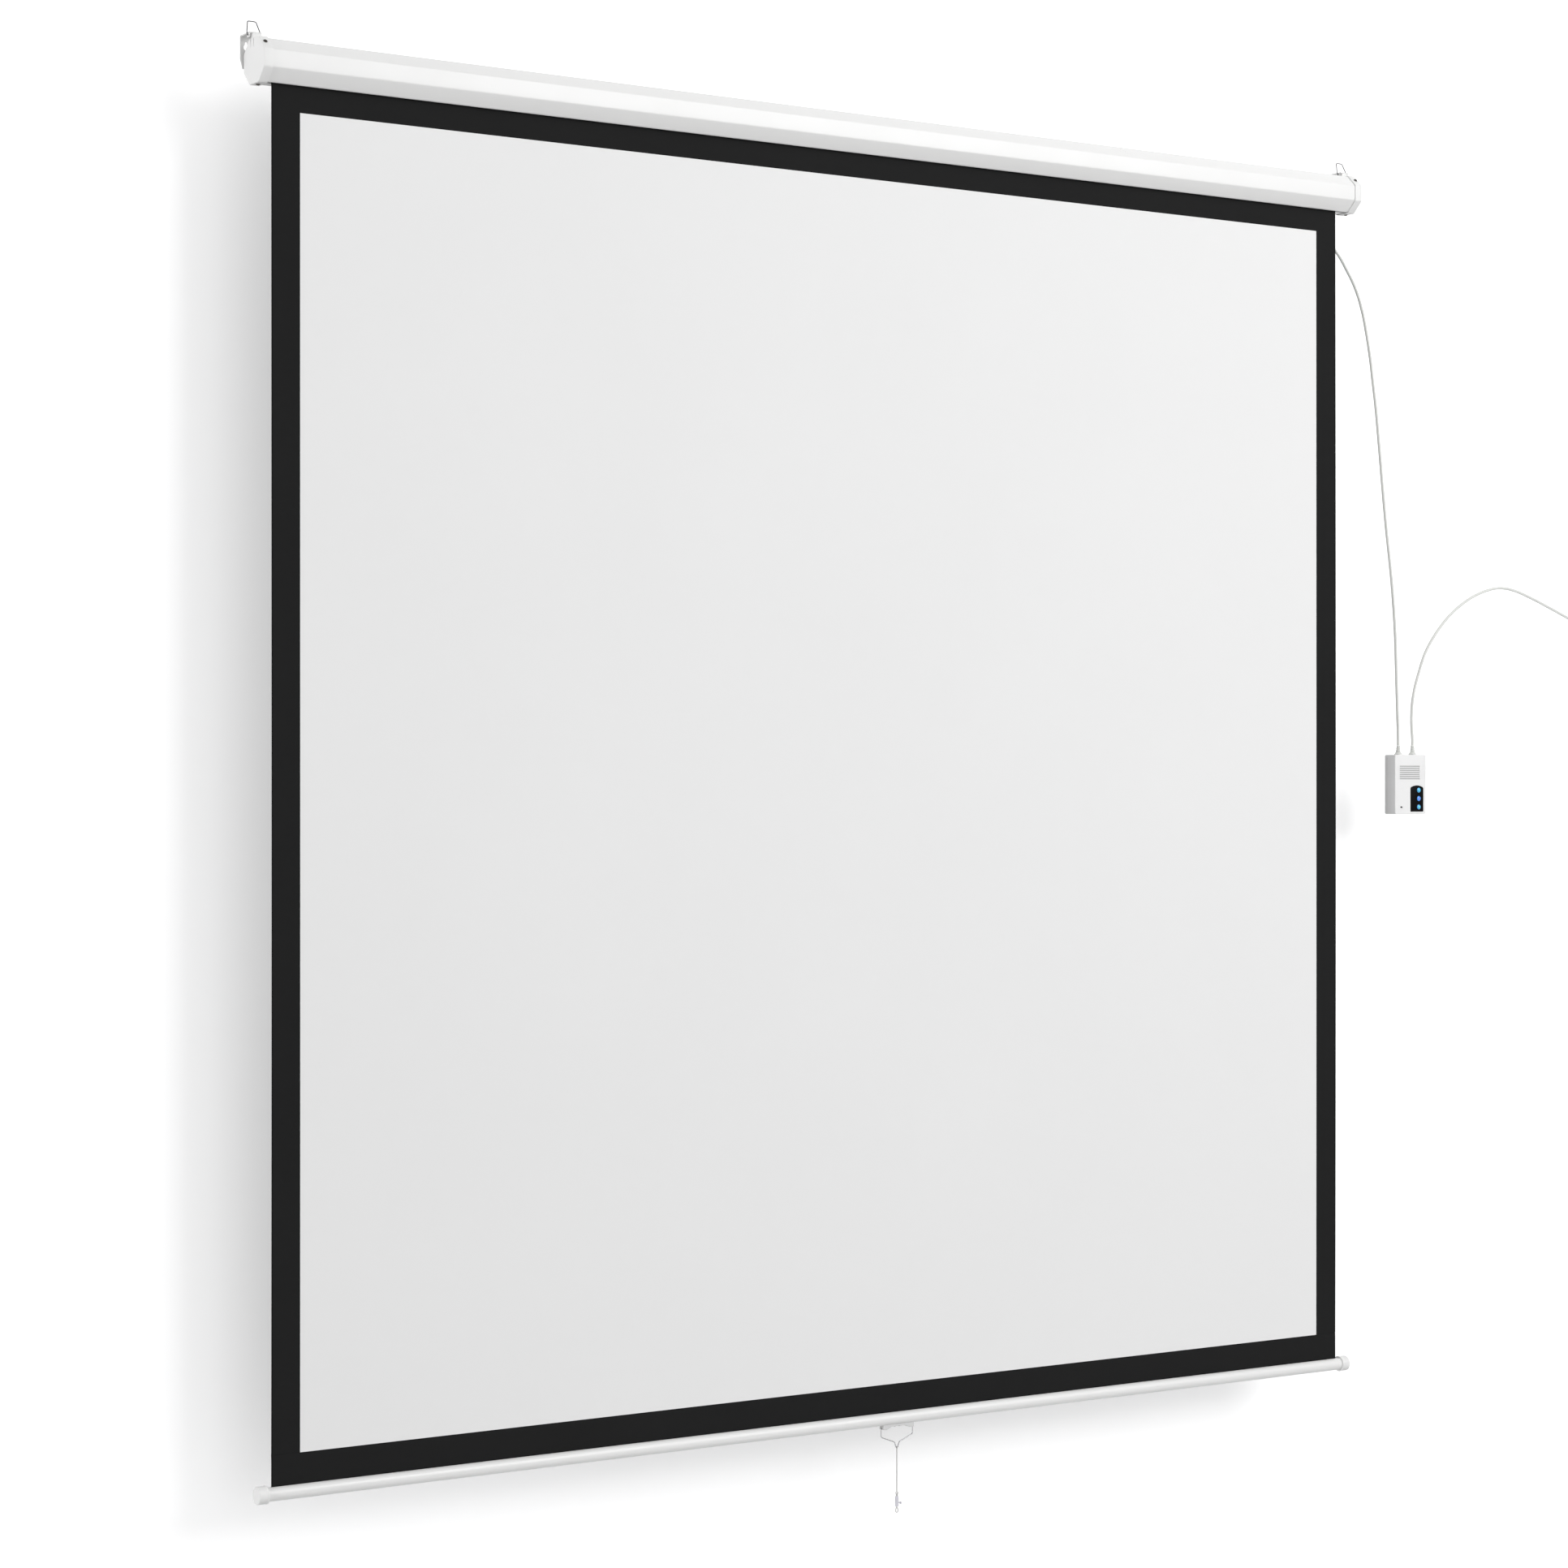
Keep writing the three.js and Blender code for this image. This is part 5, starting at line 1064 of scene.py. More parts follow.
# Bar cap: a slightly dished face, a round edge and a lip where it meets the tube
def makeBarCap(name, side):
    b = bar
    r, lip, bore, length = b["cap"] / 2, b["lip"] / 2, b["radius"] + 0.3, b["capLength"]
    step = length - b["lipLength"]
    profile = [(0, 0.5), (r - 2.6, 0.5), (r - 2.0, 0.0), (r, 0), (r, step), (lip, step), (lip, length)]
    profile += [(bore, length), (bore, b["capFace"]), (0, b["capFace"])]
    smoothed = softened(profile, [0, 0.3, 0.3, 1.3, 0.5, 0.5, 0.7, 0.3, 0.3, 0], 6)
    along = [(radius, b["tips"][side] - side * inward) for radius, inward in smoothed]
    piece = turned(f"{name}BarCap", along, "X", (b["y"], b["z"]), 64)
    place(piece, "capPlastic", "bottom_bar", "white_plastic", [f"{name}_bar_cap"], smooth=50)


handle = {
    "x": pullCord["place"][0], "pivot": -2083.2, "width": 61.4, "wire": 1.8, "leg": 14.6, "height": 33.5,
    "neckDrop": 24.6, "neck": 9, "tip": 3.4, "bend": 3, "neckBend": 1.6, "endBend": 1.2, "reach": 5,
    "clipDepth": 12, "plate": 2.2, "lobe": 6, "lobeLength": 9, "hug": 2.6,
}
handleHalf = handle["width"] / 2 - handle["wire"] / 2 - 0.3  # from the handle's middle to the clip's end
clipScrew = {"head": 4.4, "edge": 0.25, "rise": 1.3, "shank": 2, "pitch": 9.6, "slot": 2.8, "blade": 0.6}


# Clip: a saddle under the tube, scalloped between its two end lobes and its two screw pads
def makeClip():
    h, half = handle, handleHalf
    under = bar["z"] - bar["radius"]
    lobe = half - h["lobeLength"]
    rightSide = [(0, 1.5), (2.4, 2.2), (7.2, 2.2), (10.2, 1.9), (13.5, 2.3), (lobe - 1, 4.9)]
    rightSide += [(lobe + 1.5, h["lobe"]), (half, h["lobe"])]
    lower = [(-x, -d) for x, d in reversed(rightSide[1:])] + [(x, -d) for x, d in rightSide]
    outline = [(h["x"] + x, under + d) for x, d in lower]
    outline += [(h["x"] + half, under + h["hug"]), (h["x"] - half, under + h["hug"])]
    reaches = [0.8] + [1.6] * (len(lower) - 2) + [0.8, 0.3, 0.3]
    front, rear = bar["y"] - h["clipDepth"] / 2, bar["y"] + h["clipDepth"] / 2
    piece = softPrism("handleClip", softened(outline, reaches, 6), "Y", front, rear, 0.5, 0.5)
    tube = circle(bar["y"], bar["z"], bar["radius"] + 0.15, 96)
    eye = circle(bar["y"], h["pivot"], h["wire"] / 2 + 0.3, 24)
    combine(piece, [prism("bore", hole, "X", h["x"] - 60, h["x"] + 60) for hole in (tube, eye)])
    place(piece, "clipPlastic", "bottom_bar", "grey_plastic", ["handle_clip"], edge=0.2)
    for i, side in enumerate((-1, 1)):
        makeClipScrew(i + 1, h["x"] + side * clipScrew["pitch"] / 2, under)


# Clip screw: its domed head is below, with a cross slot
def makeClipScrew(number, x, under):
    s, y = clipScrew, bar["y"]
    face = under - handle["plate"] - 0.1
    head, shank, tip = s["head"] / 2, s["shank"] / 2, face - s["rise"]
    rim = face - s["edge"]
    dome = [(head * math.cos(a), rim - (rim - tip) * math.sin(a)) for a in sweep(0, 90, 6)[:-1]]
    profile = [(0, tip), *reversed(dome), (head, face), (shank, face), (shank, under + 3), (0, under + 4)]
    screw = turned(f"clipScrew{number}", profile, "Z", (x, y), 32)
    slot, blade = s["slot"] / 2, s["blade"] / 2
    combine(screw, [block("blade", x - a, x + a, y - b, y + b, tip - 0.5, tip + 0.6)
                    for a, b in ((slot, blade), (blade, slot))])
    place(screw, "darkScrew", "bottom_bar", "dark_screw", [f"clip_screw_{number}"])


# Handle: one bent wire, the same on both sides of its middle
def makeHandleWire():
    h = handle
    leg, neck, tip = h["width"] / 2, h["neck"] / 2, h["tip"] / 2
    side = [(handleHalf - h["reach"], 0), (leg, 0), (leg, -h["leg"])]
    side += [(neck, -h["neckDrop"]), (tip, -h["height"])]
    corners = [(h["x"] - x, bar["y"], h["pivot"] + z) for x, z in side]
    corners += [(h["x"] + x, bar["y"], h["pivot"] + z) for x, z in reversed(side)]
    bends = [h["endBend"], h["bend"], h["bend"], h["neckBend"]]
    piece = wire("handleWire", bentPath(corners, bends + bends[::-1]), h["wire"])
    place(piece, "handleWire", "pull_handle", "steel_wire", ["handle_wire"])


knot = {"z": -2191.2, "size": 5.0, "string": 1.5, "thread": 1.3, "end": 1.4}
toggle = {
    "top": -2194.5, "foot": -2211.1, "radius": 2.9, "peg": 2.2, "pegReach": 7.6, "pegDrop": 9.6,
    "pegLean": 14, "ball": 4,
}
endLoop = {"top": -2211.4, "width": 7.5, "height": 10, "wire": 1.8}


def stringPiece(name, path, size, closed=False, nodes=()):
    return place(wire(name, path, size, closed), "cordYarn", "pull_handle", "white_string", nodes)


# Overhand knot: the string turns over itself, its ends leave at the sides and two strings run to the toggle
def makeKnot():
    x, y = pullCord["place"]
    z = knot["z"]
    r = (knot["size"] - knot["string"]) / 2
    path = []
    for t in sweep(0, 360, 64)[:-1]:
        across = 0.62 * (math.sin(t) + 1.1 * math.sin(2 * t)) / 1.4
        up = 0.72 * (math.cos(t) - 1.1 * math.cos(2 * t)) / 1.45
        path.append((x + r * across, y + r * 0.75 * math.sin(3 * t), z + r * up))
    bundle = stringPiece("cordKnot", path, knot["string"], True, ["cord_knot"])
    run = [(x - 3.2, y, z + 2.2), (x - 0.4, y - 0.6, z), (x + 0.8, y, z + 0.4), (x + 3.2, y, z + 2.1)]
    ends = stringPiece("knotEnds", bentPath(run, [1, 0.6]), knot["end"])
    strings = []
    low, high = toggle["top"] - 0.2, pullCord["top"] - pullCord["length"] + 0.6
    for name, side in (("knotStringA", -1), ("knotStringB", 1)):
        run = [(x + side * 0.3, y, high), (x + side * 1.9, y - side * 0.5, high - 2.2),
               (x - side * 1.1, y - side * 0.7, high - 4.8), (x - side * 0.8, y, low)]
        strings.append(stringPiece(name, smoothRun(run), knot["thread"]))
    return bundle, ends, *strings


# Hitch: the cord's own turn over the bottom of the handle wire
def makeHitch():
    x, y = pullCord["place"]
    middle = handle["pivot"] - handle["height"]
    r = handle["wire"] / 2 + knot["thread"] / 2 + 0.1
    path = [(x, y + r * math.sin(t), middle + r * math.cos(t)) for t in sweep(0, 360, 24)[:-1]]
    return stringPiece("cordHitch", path, knot["thread"], True)


# Toggle: a short round grip with a leaning peg and ball on its side
def makeToggle():
    x, y = pullCord["place"]
    t = toggle
    profile = [(0, t["foot"]), (t["radius"], t["foot"]), (t["radius"], t["top"]), (0, t["top"])]
    piece = turned("cordToggle", softened(profile, [0, 1.1, 1.1, 0], 6), "Z", (x, y), 40)
    r, reach, ballR = t["peg"] / 2, t["pegReach"], t["ball"] / 2
    peg = turned("peg", [(0, 1), (r, 1), (r * 0.8, reach - 1), (0, reach)], "X", (0, 0), 24)
    arc = [(ballR * math.sin(a), reach - ballR * math.cos(a)) for a in sweep(0, 180, 12)]
    ball = turned("ball", arc, "X", (0, 0), 24)
    at = Matrix.Translation(Vector((x, y, t["top"] - t["pegDrop"])) * mm)
    for tool in (peg, ball):
        tool.data.transform(at @ Matrix.Rotation(math.radians(t["pegLean"]), 4, "Y"))
    combine(piece, [peg, ball], "UNION")
    return place(piece, "togglePlastic", "pull_handle", "grey_plastic", ["cord_toggle"])


# End loop: narrow at its top and wide toward its foot
def makeEndLoop():
    x, y = pullCord["place"]
    e = endLoop
    tall, across = e["height"] - e["wire"], e["width"] / 2 - e["wire"] / 2
    path = []
    for t in sweep(0, 360, 48)[:-1]:
        drop = (1 - math.cos(t)) / 2
        out = across * math.sin(t) * (0.45 + 0.62 * drop)
        path.append((x + out, y, e["top"] - e["wire"] / 2 - tall * drop))
    return stringPiece("cordLoop", path, e["wire"], True, ["cord_loop"])


makeBarTube()
makeBarCap("left", -1)
makeBarCap("right", 1)
makeClip()
makeHandleWire()
knotPieces = [*makeKnot(), makeHitch()]
cordToggle = makeToggle()
cordLoop = makeEndLoop()
print("bar and handle made")


# Control box

box = {
    "x": 1205, "z": -1056.8, "width": 74.5, "height": 106, "depth": 27, "wall": 2, "corner": 3,
    "edge": 0.9, "back": 5.8,
    "louvreLeft": 11, "louvreLength": 49, "louvreTop": 19.8, "louvrePitch": 3.7, "louvreTall": 1.7,
    "louvres": 7, "grooveDepth": 0.28, "grooveWrap": 6.5, "grooveTall": 0.6,
    "entry": 8.2, "screwRecess": 6.2, "screwPlaces": ((0, 43), (-10, -45)), "play": 0.3,
}
keypad = {
    "right": 6.7, "foot": 4.6, "width": 30.9, "height": 46.6, "arch": 4, "shoulder": 1.6, "corner": 1.5,
    "depth": 1,
}
# Each button's colours are its rim and its lighter middle, and glow is how far that middle reaches: a painted
# glow
buttons = {
    "size": 8.6, "pitch": 15, "proud": 1.3, "foot": 8.2, "right": 10.8, "flange": 1.2, "stem": 4, "glow": 4.6,
    "colors": {
        "down": ((0.03, 0.30, 0.68), (0.20, 0.80, 0.62)),
        "stop": ((0.025, 0.26, 0.80), (0.26, 0.24, 0.62)),
        "up": ((0.03, 0.32, 0.62), (0.14, 0.66, 0.80)),
    },
}
indicator = {"left": 15, "foot": 12.6, "width": 5, "height": 2.6}
keypadLeft = box["x"] + box["width"] / 2 - keypad["right"] - keypad["width"]
keypadFoot = box["z"] - box["height"] / 2 + keypad["foot"]
buttonX = keypadLeft + keypad["width"] - buttons["right"]
lowButton = keypadFoot + buttons["foot"]
buttonSpots = {name: lowButton + i * buttons["pitch"] for i, name in enumerate(buttons["colors"])}
boxBounds = (box["x"] - box["width"] / 2, box["x"] + box["width"] / 2, box["z"] - box["height"] / 2,
             box["z"] + box["height"] / 2)
relief = {
    "base": 14.5, "collar": 11, "neck": 7.6, "foot": -1003.5, "height": 15.8, "y": -13.5, "pitch": 34.5,
    "beads": (4.2, 3.75, 3.35), "beadDepth": 0.95, "lead": 2.55,
}


def buttonBores(front, back):
    size = buttons["size"] / 2 + box["play"]
    return [prism("bore", circle(buttonX, z, size), "Y", front, back) for z in buttonSpots.values()]


# The keypad's edge: round lower corners and a bowed top with round shoulders
def keypadOutline(clear):
    k = keypad
    left, right = keypadLeft - clear, keypadLeft + k["width"] + clear
    foot, top = keypadFoot - clear, keypadFoot + k["height"] + clear
    shoulder, middle, half = top - k["arch"], (left + right) / 2, (right - left) / 2
    steps = 8
    corners = roundedBox(left, right, foot, top, k["corner"], steps)
    arch = []
    for i in range(25):
        x = right + (left - right) * i / 24
        bow = 1 - ((x - middle) / half) ** 2
        drop = k["shoulder"] * max(0, 1 - min(x - left, right - x) / k["shoulder"]) ** 2
        arch.append((x, shoulder + k["arch"] * bow * 0.98 - drop))
    return corners[:steps + 1] + arch + corners[-(steps + 1):]


def makeBoxFront():
    b = box
    x0, x1, z0, z1 = boxBounds
    outline = roundedBox(x0, x1, z0, z1, b["corner"])
    front, split = -b["depth"], -b["back"] - 0.3
    piece = softPrism("boxFront", outline, "Y", front, split, b["edge"], 0.25)
    tools = [prism("hollow", inset(outline, b["wall"]), "Y", front + b["wall"], split + 2)]
    tools += louvreTools(front)
    tools.append(prism("recess", keypadOutline(b["play"]), "Y", front - 2, front + keypad["depth"]))
    tools += buttonBores(front - 2, front + 4)
    ix, iz = x0 + indicator["left"], z0 + indicator["foot"]
    wide, tall = indicator["width"] / 2 + b["play"], indicator["height"] / 2 + b["play"]
    oval = [(ix + a * wide, iz + c * tall) for a, c in circle(0, 0, 1)]
    tools.append(prism("window", oval, "Y", front - 2, front + 4))
    for side in (-1, 1):
        entry = circle(b["x"] + side * relief["pitch"] / 2, relief["y"], b["entry"] / 2)
        tools.append(prism("entry", entry, "Z", z1 - 4, z1 + 2))
    combine(piece, tools)
    place(piece, "boxPlastic", "housing", "white_plastic", ["box_front"], edge=0.15)


# Louvres: each a slot through the wall, on a fine groove across the front and round its left edge
def louvreTools(front):
    b = box
    x0, x1, _, z1 = boxBounds
    left, sunk, wrap = x0 + b["louvreLeft"], b["grooveDepth"], front + b["grooveWrap"]
    grooveEdge = [(x0 - 1, front - 1), (x1 + 1, front - 1), (x1 + 1, front + sunk), (x0 + sunk, front + sunk),
                  (x0 + sunk, wrap), (x0 - 1, wrap)]
    half, groove = b["louvreTall"] / 2, b["grooveTall"] / 2
    tools = []
    for i in range(b["louvres"]):
        middle = z1 - b["louvreTop"] - i * b["louvrePitch"] - 0.9
        slot = roundedBox(left, left + b["louvreLength"], middle - half, middle + half, half - 0.05, 6)
        tools.append(prism("louvre", slot, "Y", front - 1, front + b["wall"] + 1))
        tools.append(prism("groove", grooveEdge, "Z", middle - groove, middle + groove))
    return tools


# Painted shade: a grey sheet behind the louvres, whose grey stands in for the shade inside the slots
def makeLouvreShadeSheet():
    b = box
    x0, _, _, z1 = boxBounds
    left, head = x0 + b["louvreLeft"] - 1.5, z1 - b["louvreTop"]
    foot = head - 0.9 - (b["louvres"] - 0.5) * b["louvrePitch"]
    face = b["wall"] - b["depth"]
    right = left + b["louvreLength"] + 3
    floor = block("louvreShadeSheet", left, right, face + 0.02, face + 0.5, foot, head + 0.9)
    place(floor, "louvreShadeGrey", "housing", "white_plastic")


# Back shell: a shallow tray, sunk behind for the heads of the two screws that join the shells
def makeBoxBack():
    b = box
    outline = roundedBox(*boxBounds, b["corner"])
    piece = softPrism("boxBack", outline, "Y", -b["back"], 0, 0.25, b["edge"])
    tray = prism("tray", inset(outline, b["wall"]), "Y", -b["back"] - 2, -b["wall"])
    spots = [circle(b["x"] + x, b["z"] + z, b["screwRecess"] / 2) for x, z in b["screwPlaces"]]
    combine(piece, [tray, *(prism("recess", spot, "Y", -1.5, 2) for spot in spots)])
    place(piece, "boxPlastic", "housing", "white_plastic", ["box_back"], edge=0.15)


def makeKeypad():
    front = -box["depth"]
    plate = softPrism("keypadPanel", keypadOutline(0), "Y", front - 0.3, front + keypad["depth"] - 0.3, 0.3)
    combine(plate, buttonBores(front - 2, front + 3))
    place(plate, "keypadFilm", "housing", "keypad_black", ["keypad_panel"], edge=0.12)


# Button: a shallow dome, a flange behind the panel and a stem toward the board
def makeButtons():
    front = -box["depth"]
    r, proud, stem = buttons["size"] / 2, buttons["proud"], buttons["stem"] / 2
    flange, foot = r + buttons["flange"], front + 9
    for name, z in buttonSpots.items():
        rim, middle = buttons["colors"][name]
        centre = (buttonX, front - 0.8, z)
        finishes[f"{name}Lens"] = makeButtonFinish(f"{name}Lens", rim, middle, centre, buttons["glow"])
        dome = [(r * math.sin(a), front - proud + proud * 0.75 * (1 - math.cos(a))) for a in sweep(0, 90, 10)]
        profile = [*dome, (r, front + 2.3), (flange, front + 2.3), (flange, front + 3.3), (stem, front + 3.3),
                   (stem, foot), (0, foot)]
        piece = turned(f"{name}Button", profile, "Y", (buttonX, z), 48)
        place(piece, f"{name}Lens", f"button_{name}", "button_blue", [f"{name}_button"], smooth=45)


# Indicator: an oval lens, low on the box's front
def makeIndicator():
    x0, _, z0, _ = boxBounds
    front = -box["depth"]
    ix, iz = x0 + indicator["left"], z0 + indicator["foot"]
    wide, tall = indicator["width"] / 2, indicator["height"] / 2
    rings = []
    for a in sweep(0, 90, 6):
        y = front - 0.3 + 0.5 * (1 - math.cos(a))
        oval = circle(0, 0, max(math.sin(a), 0.02), 40)
        rings.append([(ix + wide * across, y, iz + tall * up) for across, up in oval])
    rings.append([(x, front + 3.3, z) for x, _, z in rings[-1]])
    piece = loft("indicatorWindow", rings)
    place(piece, "indicatorLens", "housing", "indicator_dark", ["indicator_window"])


# Strain relief: a flared foot, three soft beads above it and a collar inside the wall
def makeRelief(name, side):
    shape = relief
    foot, top = shape["foot"], shape["foot"] + shape["height"]
    base, collar, neck, depth = shape["base"] / 2, shape["collar"] / 2, shape["neck"] / 2, shape["beadDepth"]
    flare = [(base - 2.95 * (k / 8) ** 0.75, foot + 0.9 + 4.0 * k / 8) for k in range(9)]
    low = foot + 4.9
    step = (top - low) / len(shape["beads"])
    beads = []
    for i, size in enumerate(shape["beads"]):
        for k in range(10):
            bulge = depth * math.sin(math.pi * k / 10) ** 0.7
            beads.append((size - depth + bulge, low + step * (i + k / 10)))
    profile = [(0, foot - 3.9), (collar, foot - 3.9), (collar, foot - 2.6), (neck, foot - 2.6), (neck, foot),
               (base, foot), *flare, *beads, (shape["lead"], top), (0, top)]
    piece = turned(f"{name}LeadRelief", profile, "Z", (box["x"] + side * shape["pitch"] / 2, shape["y"]), 40)
    return place(piece, "leadSheath", "housing", "lead_white", [f"{name}_lead_relief"], smooth=55)


gland = {"face": -56.4, "flats": 9.1, "flatsTall": 2.4, "flatsDrop": 2.5}


# Gland: a dome nut below the casing and a lock nut inside it
def makeGland():
    x, y, _ = housing["gland"]
    face = gland["face"]
    steps = [(0, -8), (2.9, -8), (3.5, -7.4), (3.5, -4.2), (4.7, -2.8), (5, -2.2), (5, 0)]  # dome nut
    steps += [(3.7, 0), (3.7, 1.8), (5, 1.8), (5, 3.4), (0, 3.4)]  # neck and lock nut
    profile = [(radius, face + rise) for radius, rise in steps]
    piece = turned("cableGland", softened(profile, [0] + [0.3] * 10 + [0], 3), "Z", (x, y), 40)
    flats = []
    for k in range(6):
        tool = block("flat", gland["flats"] / 2, 8, -6, 6, 0, gland["flatsTall"])
        tool.data.transform(Matrix.Rotation(math.radians(60 * k), 4, "Z"))
        tool.data.transform(Matrix.Translation(Vector((x, y, face - gland["flatsDrop"])) * mm))
        flats.append(tool)
    combine(piece, flats)
    return place(piece, "leadSheath", "housing", "lead_white", ["cable_gland"], smooth=35)


makeBoxFront()
makeLouvreShadeSheet()
makeBoxBack()
makeKeypad()
makeButtons()
makeIndicator()
motorRelief = makeRelief("motor", -1)
supplyRelief = makeRelief("supply", 1)
cableGland = makeGland()
print("control box made")


# Coil tie and plug

tie = {"room": 3.1, "corner": 2.5, "thickness": 1.2, "height": 6}  # room: from a lead's middle to the band
plug = {
    "width": 35, "thickness": 14, "length": 34, "shoulder": 11, "nose": 8, "top": 3.6, "collar": 4.4,
    "pin": 4, "pinLength": 19, "pinPitch": 19,
}


# Tie: a flat band round all the turns on one side of the coil
def makeTie():
    x, y, z = coil["start"]
    inner = coilOuter - coilMiddle * coil["pitch"] - tie["room"]
    outer = coilOuter + tie["room"]
    hole = roundedBox(x - outer, x - inner, y - tie["room"], y + coil["pitch"] + tie["room"], tie["corner"])
    low, high = z - coilOuter - tie["height"] / 2, z - coilOuter + tie["height"] / 2
    piece = softPrism("coilTie", inset(hole, -tie["thickness"]), "Z", low, high, 0.3, 0.3)
    combine(piece, [prism("hole", hole, "Z", low - 2, high + 2)])
    return place(piece, "blackPlastic", "housing", "black_plastic", ["coil_tie"], edge=0.15, edgeAngle=40)


# Plug: a soft-edged body that narrows toward its lead, and two round pins
def makePlug():
    p = plug
    end = coilPoint(coil["turns"])
    top = end.z - coil["drop"] - supplyLead["tail"]
    nose = top - p["nose"]
    foot = nose - p["length"]
    half = p["width"] / 2
    rightSide = [(p["top"], top), (p["collar"], top - 4), (p["shoulder"], nose)]
    rightSide += [(half, nose - p["shoulder"]), (half, foot)]
    placed = [(end.x + x, z) for x, z in rightSide] + [(end.x - x, z) for x, z in reversed(rightSide)]
    reaches = [1, 1.5, 3, 5, 3]
    soft = softened(placed, reaches + reaches[::-1], 6)
    front, rear = end.y - p["thickness"] / 2, end.y + p["thickness"] / 2
    body = softPrism("plugBody", soft, "Y", front, rear, 2.2, 2.2, 6)
    place(body, "leadSheath", "housing", "lead_white", ["plug_body"])
    r, start = p["pin"] / 2, foot - 0.3
    tip = start - p["pinLength"]
    profile = [(0, tip), (r * 0.55, tip), (r * 0.9, tip + 1), (r, tip + 2.2), (r, start), (0, start)]
    rounded = softened(profile, [0, 0.3, 0.5, 0.5, 0, 0], 3)
    pins = []
    for i, side in enumerate((-1, 1)):
        pin = turned(f"plugPin{i + 1}", rounded, "Z", (end.x + side * p["pinPitch"] / 2, end.y), 32)
        pins.append(place(pin, "pinMetal", "housing", "pin_metal", [f"plug_pin_{i + 1}"]))
    return body, pins


coilTie = makeTie()
plugBody, plugPins = makePlug()
print("coil tie and plug made")


# Inner pieces that keep the part's own solids: a finish and a slot are listed for each, and only the finish
# is given

keptNodes = {
    "roller_tube": ("zincSteel", "roller_metal"), "idler_plug": ("capPlastic", "white_plastic"),
    "idler_bush": ("capPlastic", "white_plastic"), "motor_crown": ("blackPlastic", "black_plastic"),
    "drive_wheel": ("blackPlastic", "black_plastic"), "tubular_motor": ("zincSteel", "roller_metal"),
    "motor_head": ("blackPlastic", "black_plastic"), "motor_holder": ("zincSteel", "roller_metal"),
    "hem_rod": ("zincSteel", "steel_wire"), "circuit_board": ("boardGreen", "board_green"),
    "relay_1": ("relayBlue", "relay_blue"), "relay_2": ("relayBlue", "relay_blue"),
    "terminal_block": ("terminalGreen", "board_green"), "box_screw_1": ("zincSteel", "steel_wire"),
    "box_screw_2": ("zincSteel", "steel_wire"),
}


def dressNodes():
    for name, (finish, slot) in keptNodes.items():
        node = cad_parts[name]
        for material in node.material_slots:
            material.material = finishes[finish]
        if not node.material_slots:
            node.data.materials.append(finishes[finish])


dressNodes()
# Backdrop, floor and light

stage = {
    "wallY": 0.10, "floorZ": -2.85, "half": 9,
    "backdrop": {"paper": (0.90, 0.90, 0.905), "glow": 0.40},
    "floor": {"paper": (0.47, 0.47, 0.47), "glow": 0.71},
}


def makeStageFinish(name):
    material = bpy.data.materials.new(f"{name}Paper")
    material.use_nodes = True
    tree = material.node_tree
    tree.nodes.clear()
    out = tree.nodes.new("ShaderNodeOutputMaterial")
    diffuse = tree.nodes.new("ShaderNodeBsdfDiffuse")
    diffuse.inputs["Color"].default_value = (*stage[name]["paper"], 1)
    glow = tree.nodes.new("ShaderNodeEmission")
    path = tree.nodes.new("ShaderNodeLightPath")
    seen = mathNode(tree, "MAXIMUM", path.outputs["Is Camera Ray"], path.outputs["Is Glossy Ray"])
    seen = mathNode(tree, "MAXIMUM", seen, path.outputs["Is Transmission Ray"])
    tree.links.new(mathNode(tree, "MULTIPLY", seen, stage[name]["glow"]), glow.inputs["Strength"])
    both = tree.nodes.new("ShaderNodeAddShader")
    tree.links.new(diffuse.outputs[0], both.inputs[0])
    tree.links.new(glow.outputs[0], both.inputs[1])
    clear = tree.nodes.new("ShaderNodeBsdfTransparent")
    behind = tree.nodes.new("ShaderNodeNewGeometry")
    mix = tree.nodes.new("ShaderNodeMixShader")
    tree.links.new(behind.outputs["Backfacing"], mix.inputs[0])
    tree.links.new(both.outputs[0], mix.inputs[1])
    tree.links.new(clear.outputs[0], mix.inputs[2])
    tree.links.new(mix.outputs[0], out.inputs["Surface"])
    return material


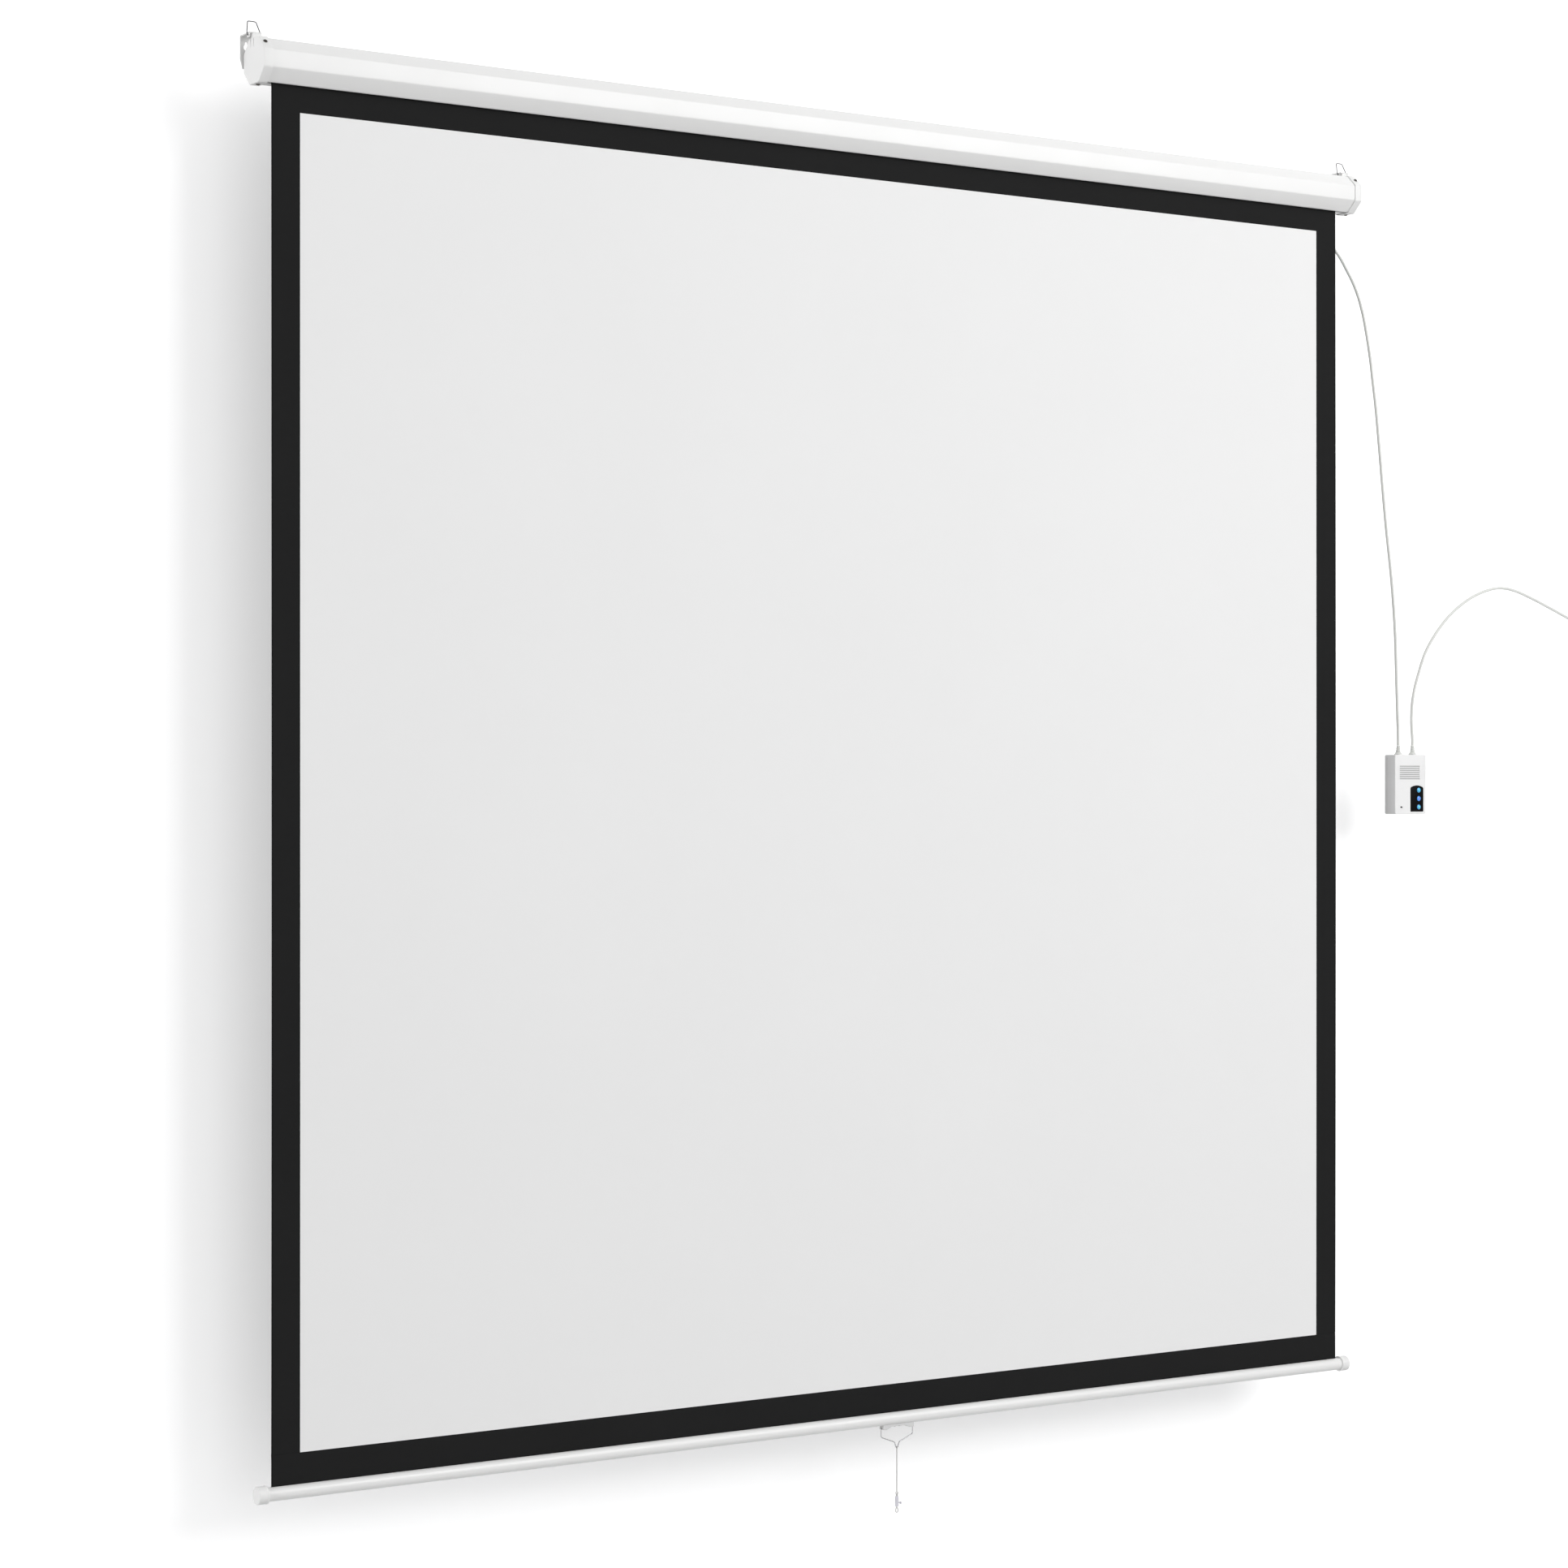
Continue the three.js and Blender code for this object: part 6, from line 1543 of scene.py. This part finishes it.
def makeStage():
    h, y, z = stage["half"], stage["wallY"], stage["floorZ"]
    wall = bpy.data.meshes.new("backdrop")
    wall.from_pydata([(-h, y, z), (h, y, z), (h, y, z + h), (-h, y, z + h)], [], [(0, 1, 2, 3)])
    floor = bpy.data.meshes.new("floor")
    floor.from_pydata([(-h, -h, z), (h, -h, z), (h, y, z), (-h, y, z)], [], [(0, 1, 2, 3)])
    for name, mesh in (("backdrop", wall), ("floor", floor)):
        mesh.materials.append(makeStageFinish(name))
        link(name, mesh)


def aimed(name, place, target, size, power):
    data = bpy.data.lights.new(name, "AREA")
    data.shape = "SQUARE"
    data.size = size
    data.energy = power
    light = bpy.data.objects.new(name, data)
    bpy.context.collection.objects.link(light)
    light.location = place
    light.rotation_euler = (Vector(target) - Vector(place)).to_track_quat("-Z", "Y").to_euler()


lamps = {
    "key": {"place": (3.2, -5.3, 1.7), "target": (0, 0, -1.0), "size": 3.6, "power": 236},
    "fill": {"place": (-1.8, -5.8, -1.4), "target": (0, 0, -1.1), "size": 4.0, "power": 45},
    "side": {"place": (-12, -2.1, -0.8), "target": (0, -0.2, -0.9), "size": 3.0, "power": 420},
}
sky = {"upper": 0.55, "lower": 0.40}


def makeLight():
    for name, settings in lamps.items():
        aimed(name, **settings)
    world = bpy.data.worlds.new("studio")
    world.use_nodes = True
    bpy.context.scene.world = world
    tree = world.node_tree
    background = tree.nodes["Background"]
    background.inputs["Color"].default_value = (1, 1, 1, 1)
    place = tree.nodes.new("ShaderNodeTexCoord")
    split = tree.nodes.new("ShaderNodeSeparateXYZ")
    tree.links.new(place.outputs["Generated"], split.inputs[0])
    level = mapped(tree, split.outputs["Z"], sky["lower"], sky["upper"], -0.6, 0.6)
    path = tree.nodes.new("ShaderNodeLightPath")
    seen = mathNode(tree, "MAXIMUM", path.outputs["Is Camera Ray"], path.outputs["Is Transmission Ray"])
    tree.links.new(mathNode(tree, "MAXIMUM", level, seen), background.inputs["Strength"])


makeStage()
makeLight()
print("stage and light set")
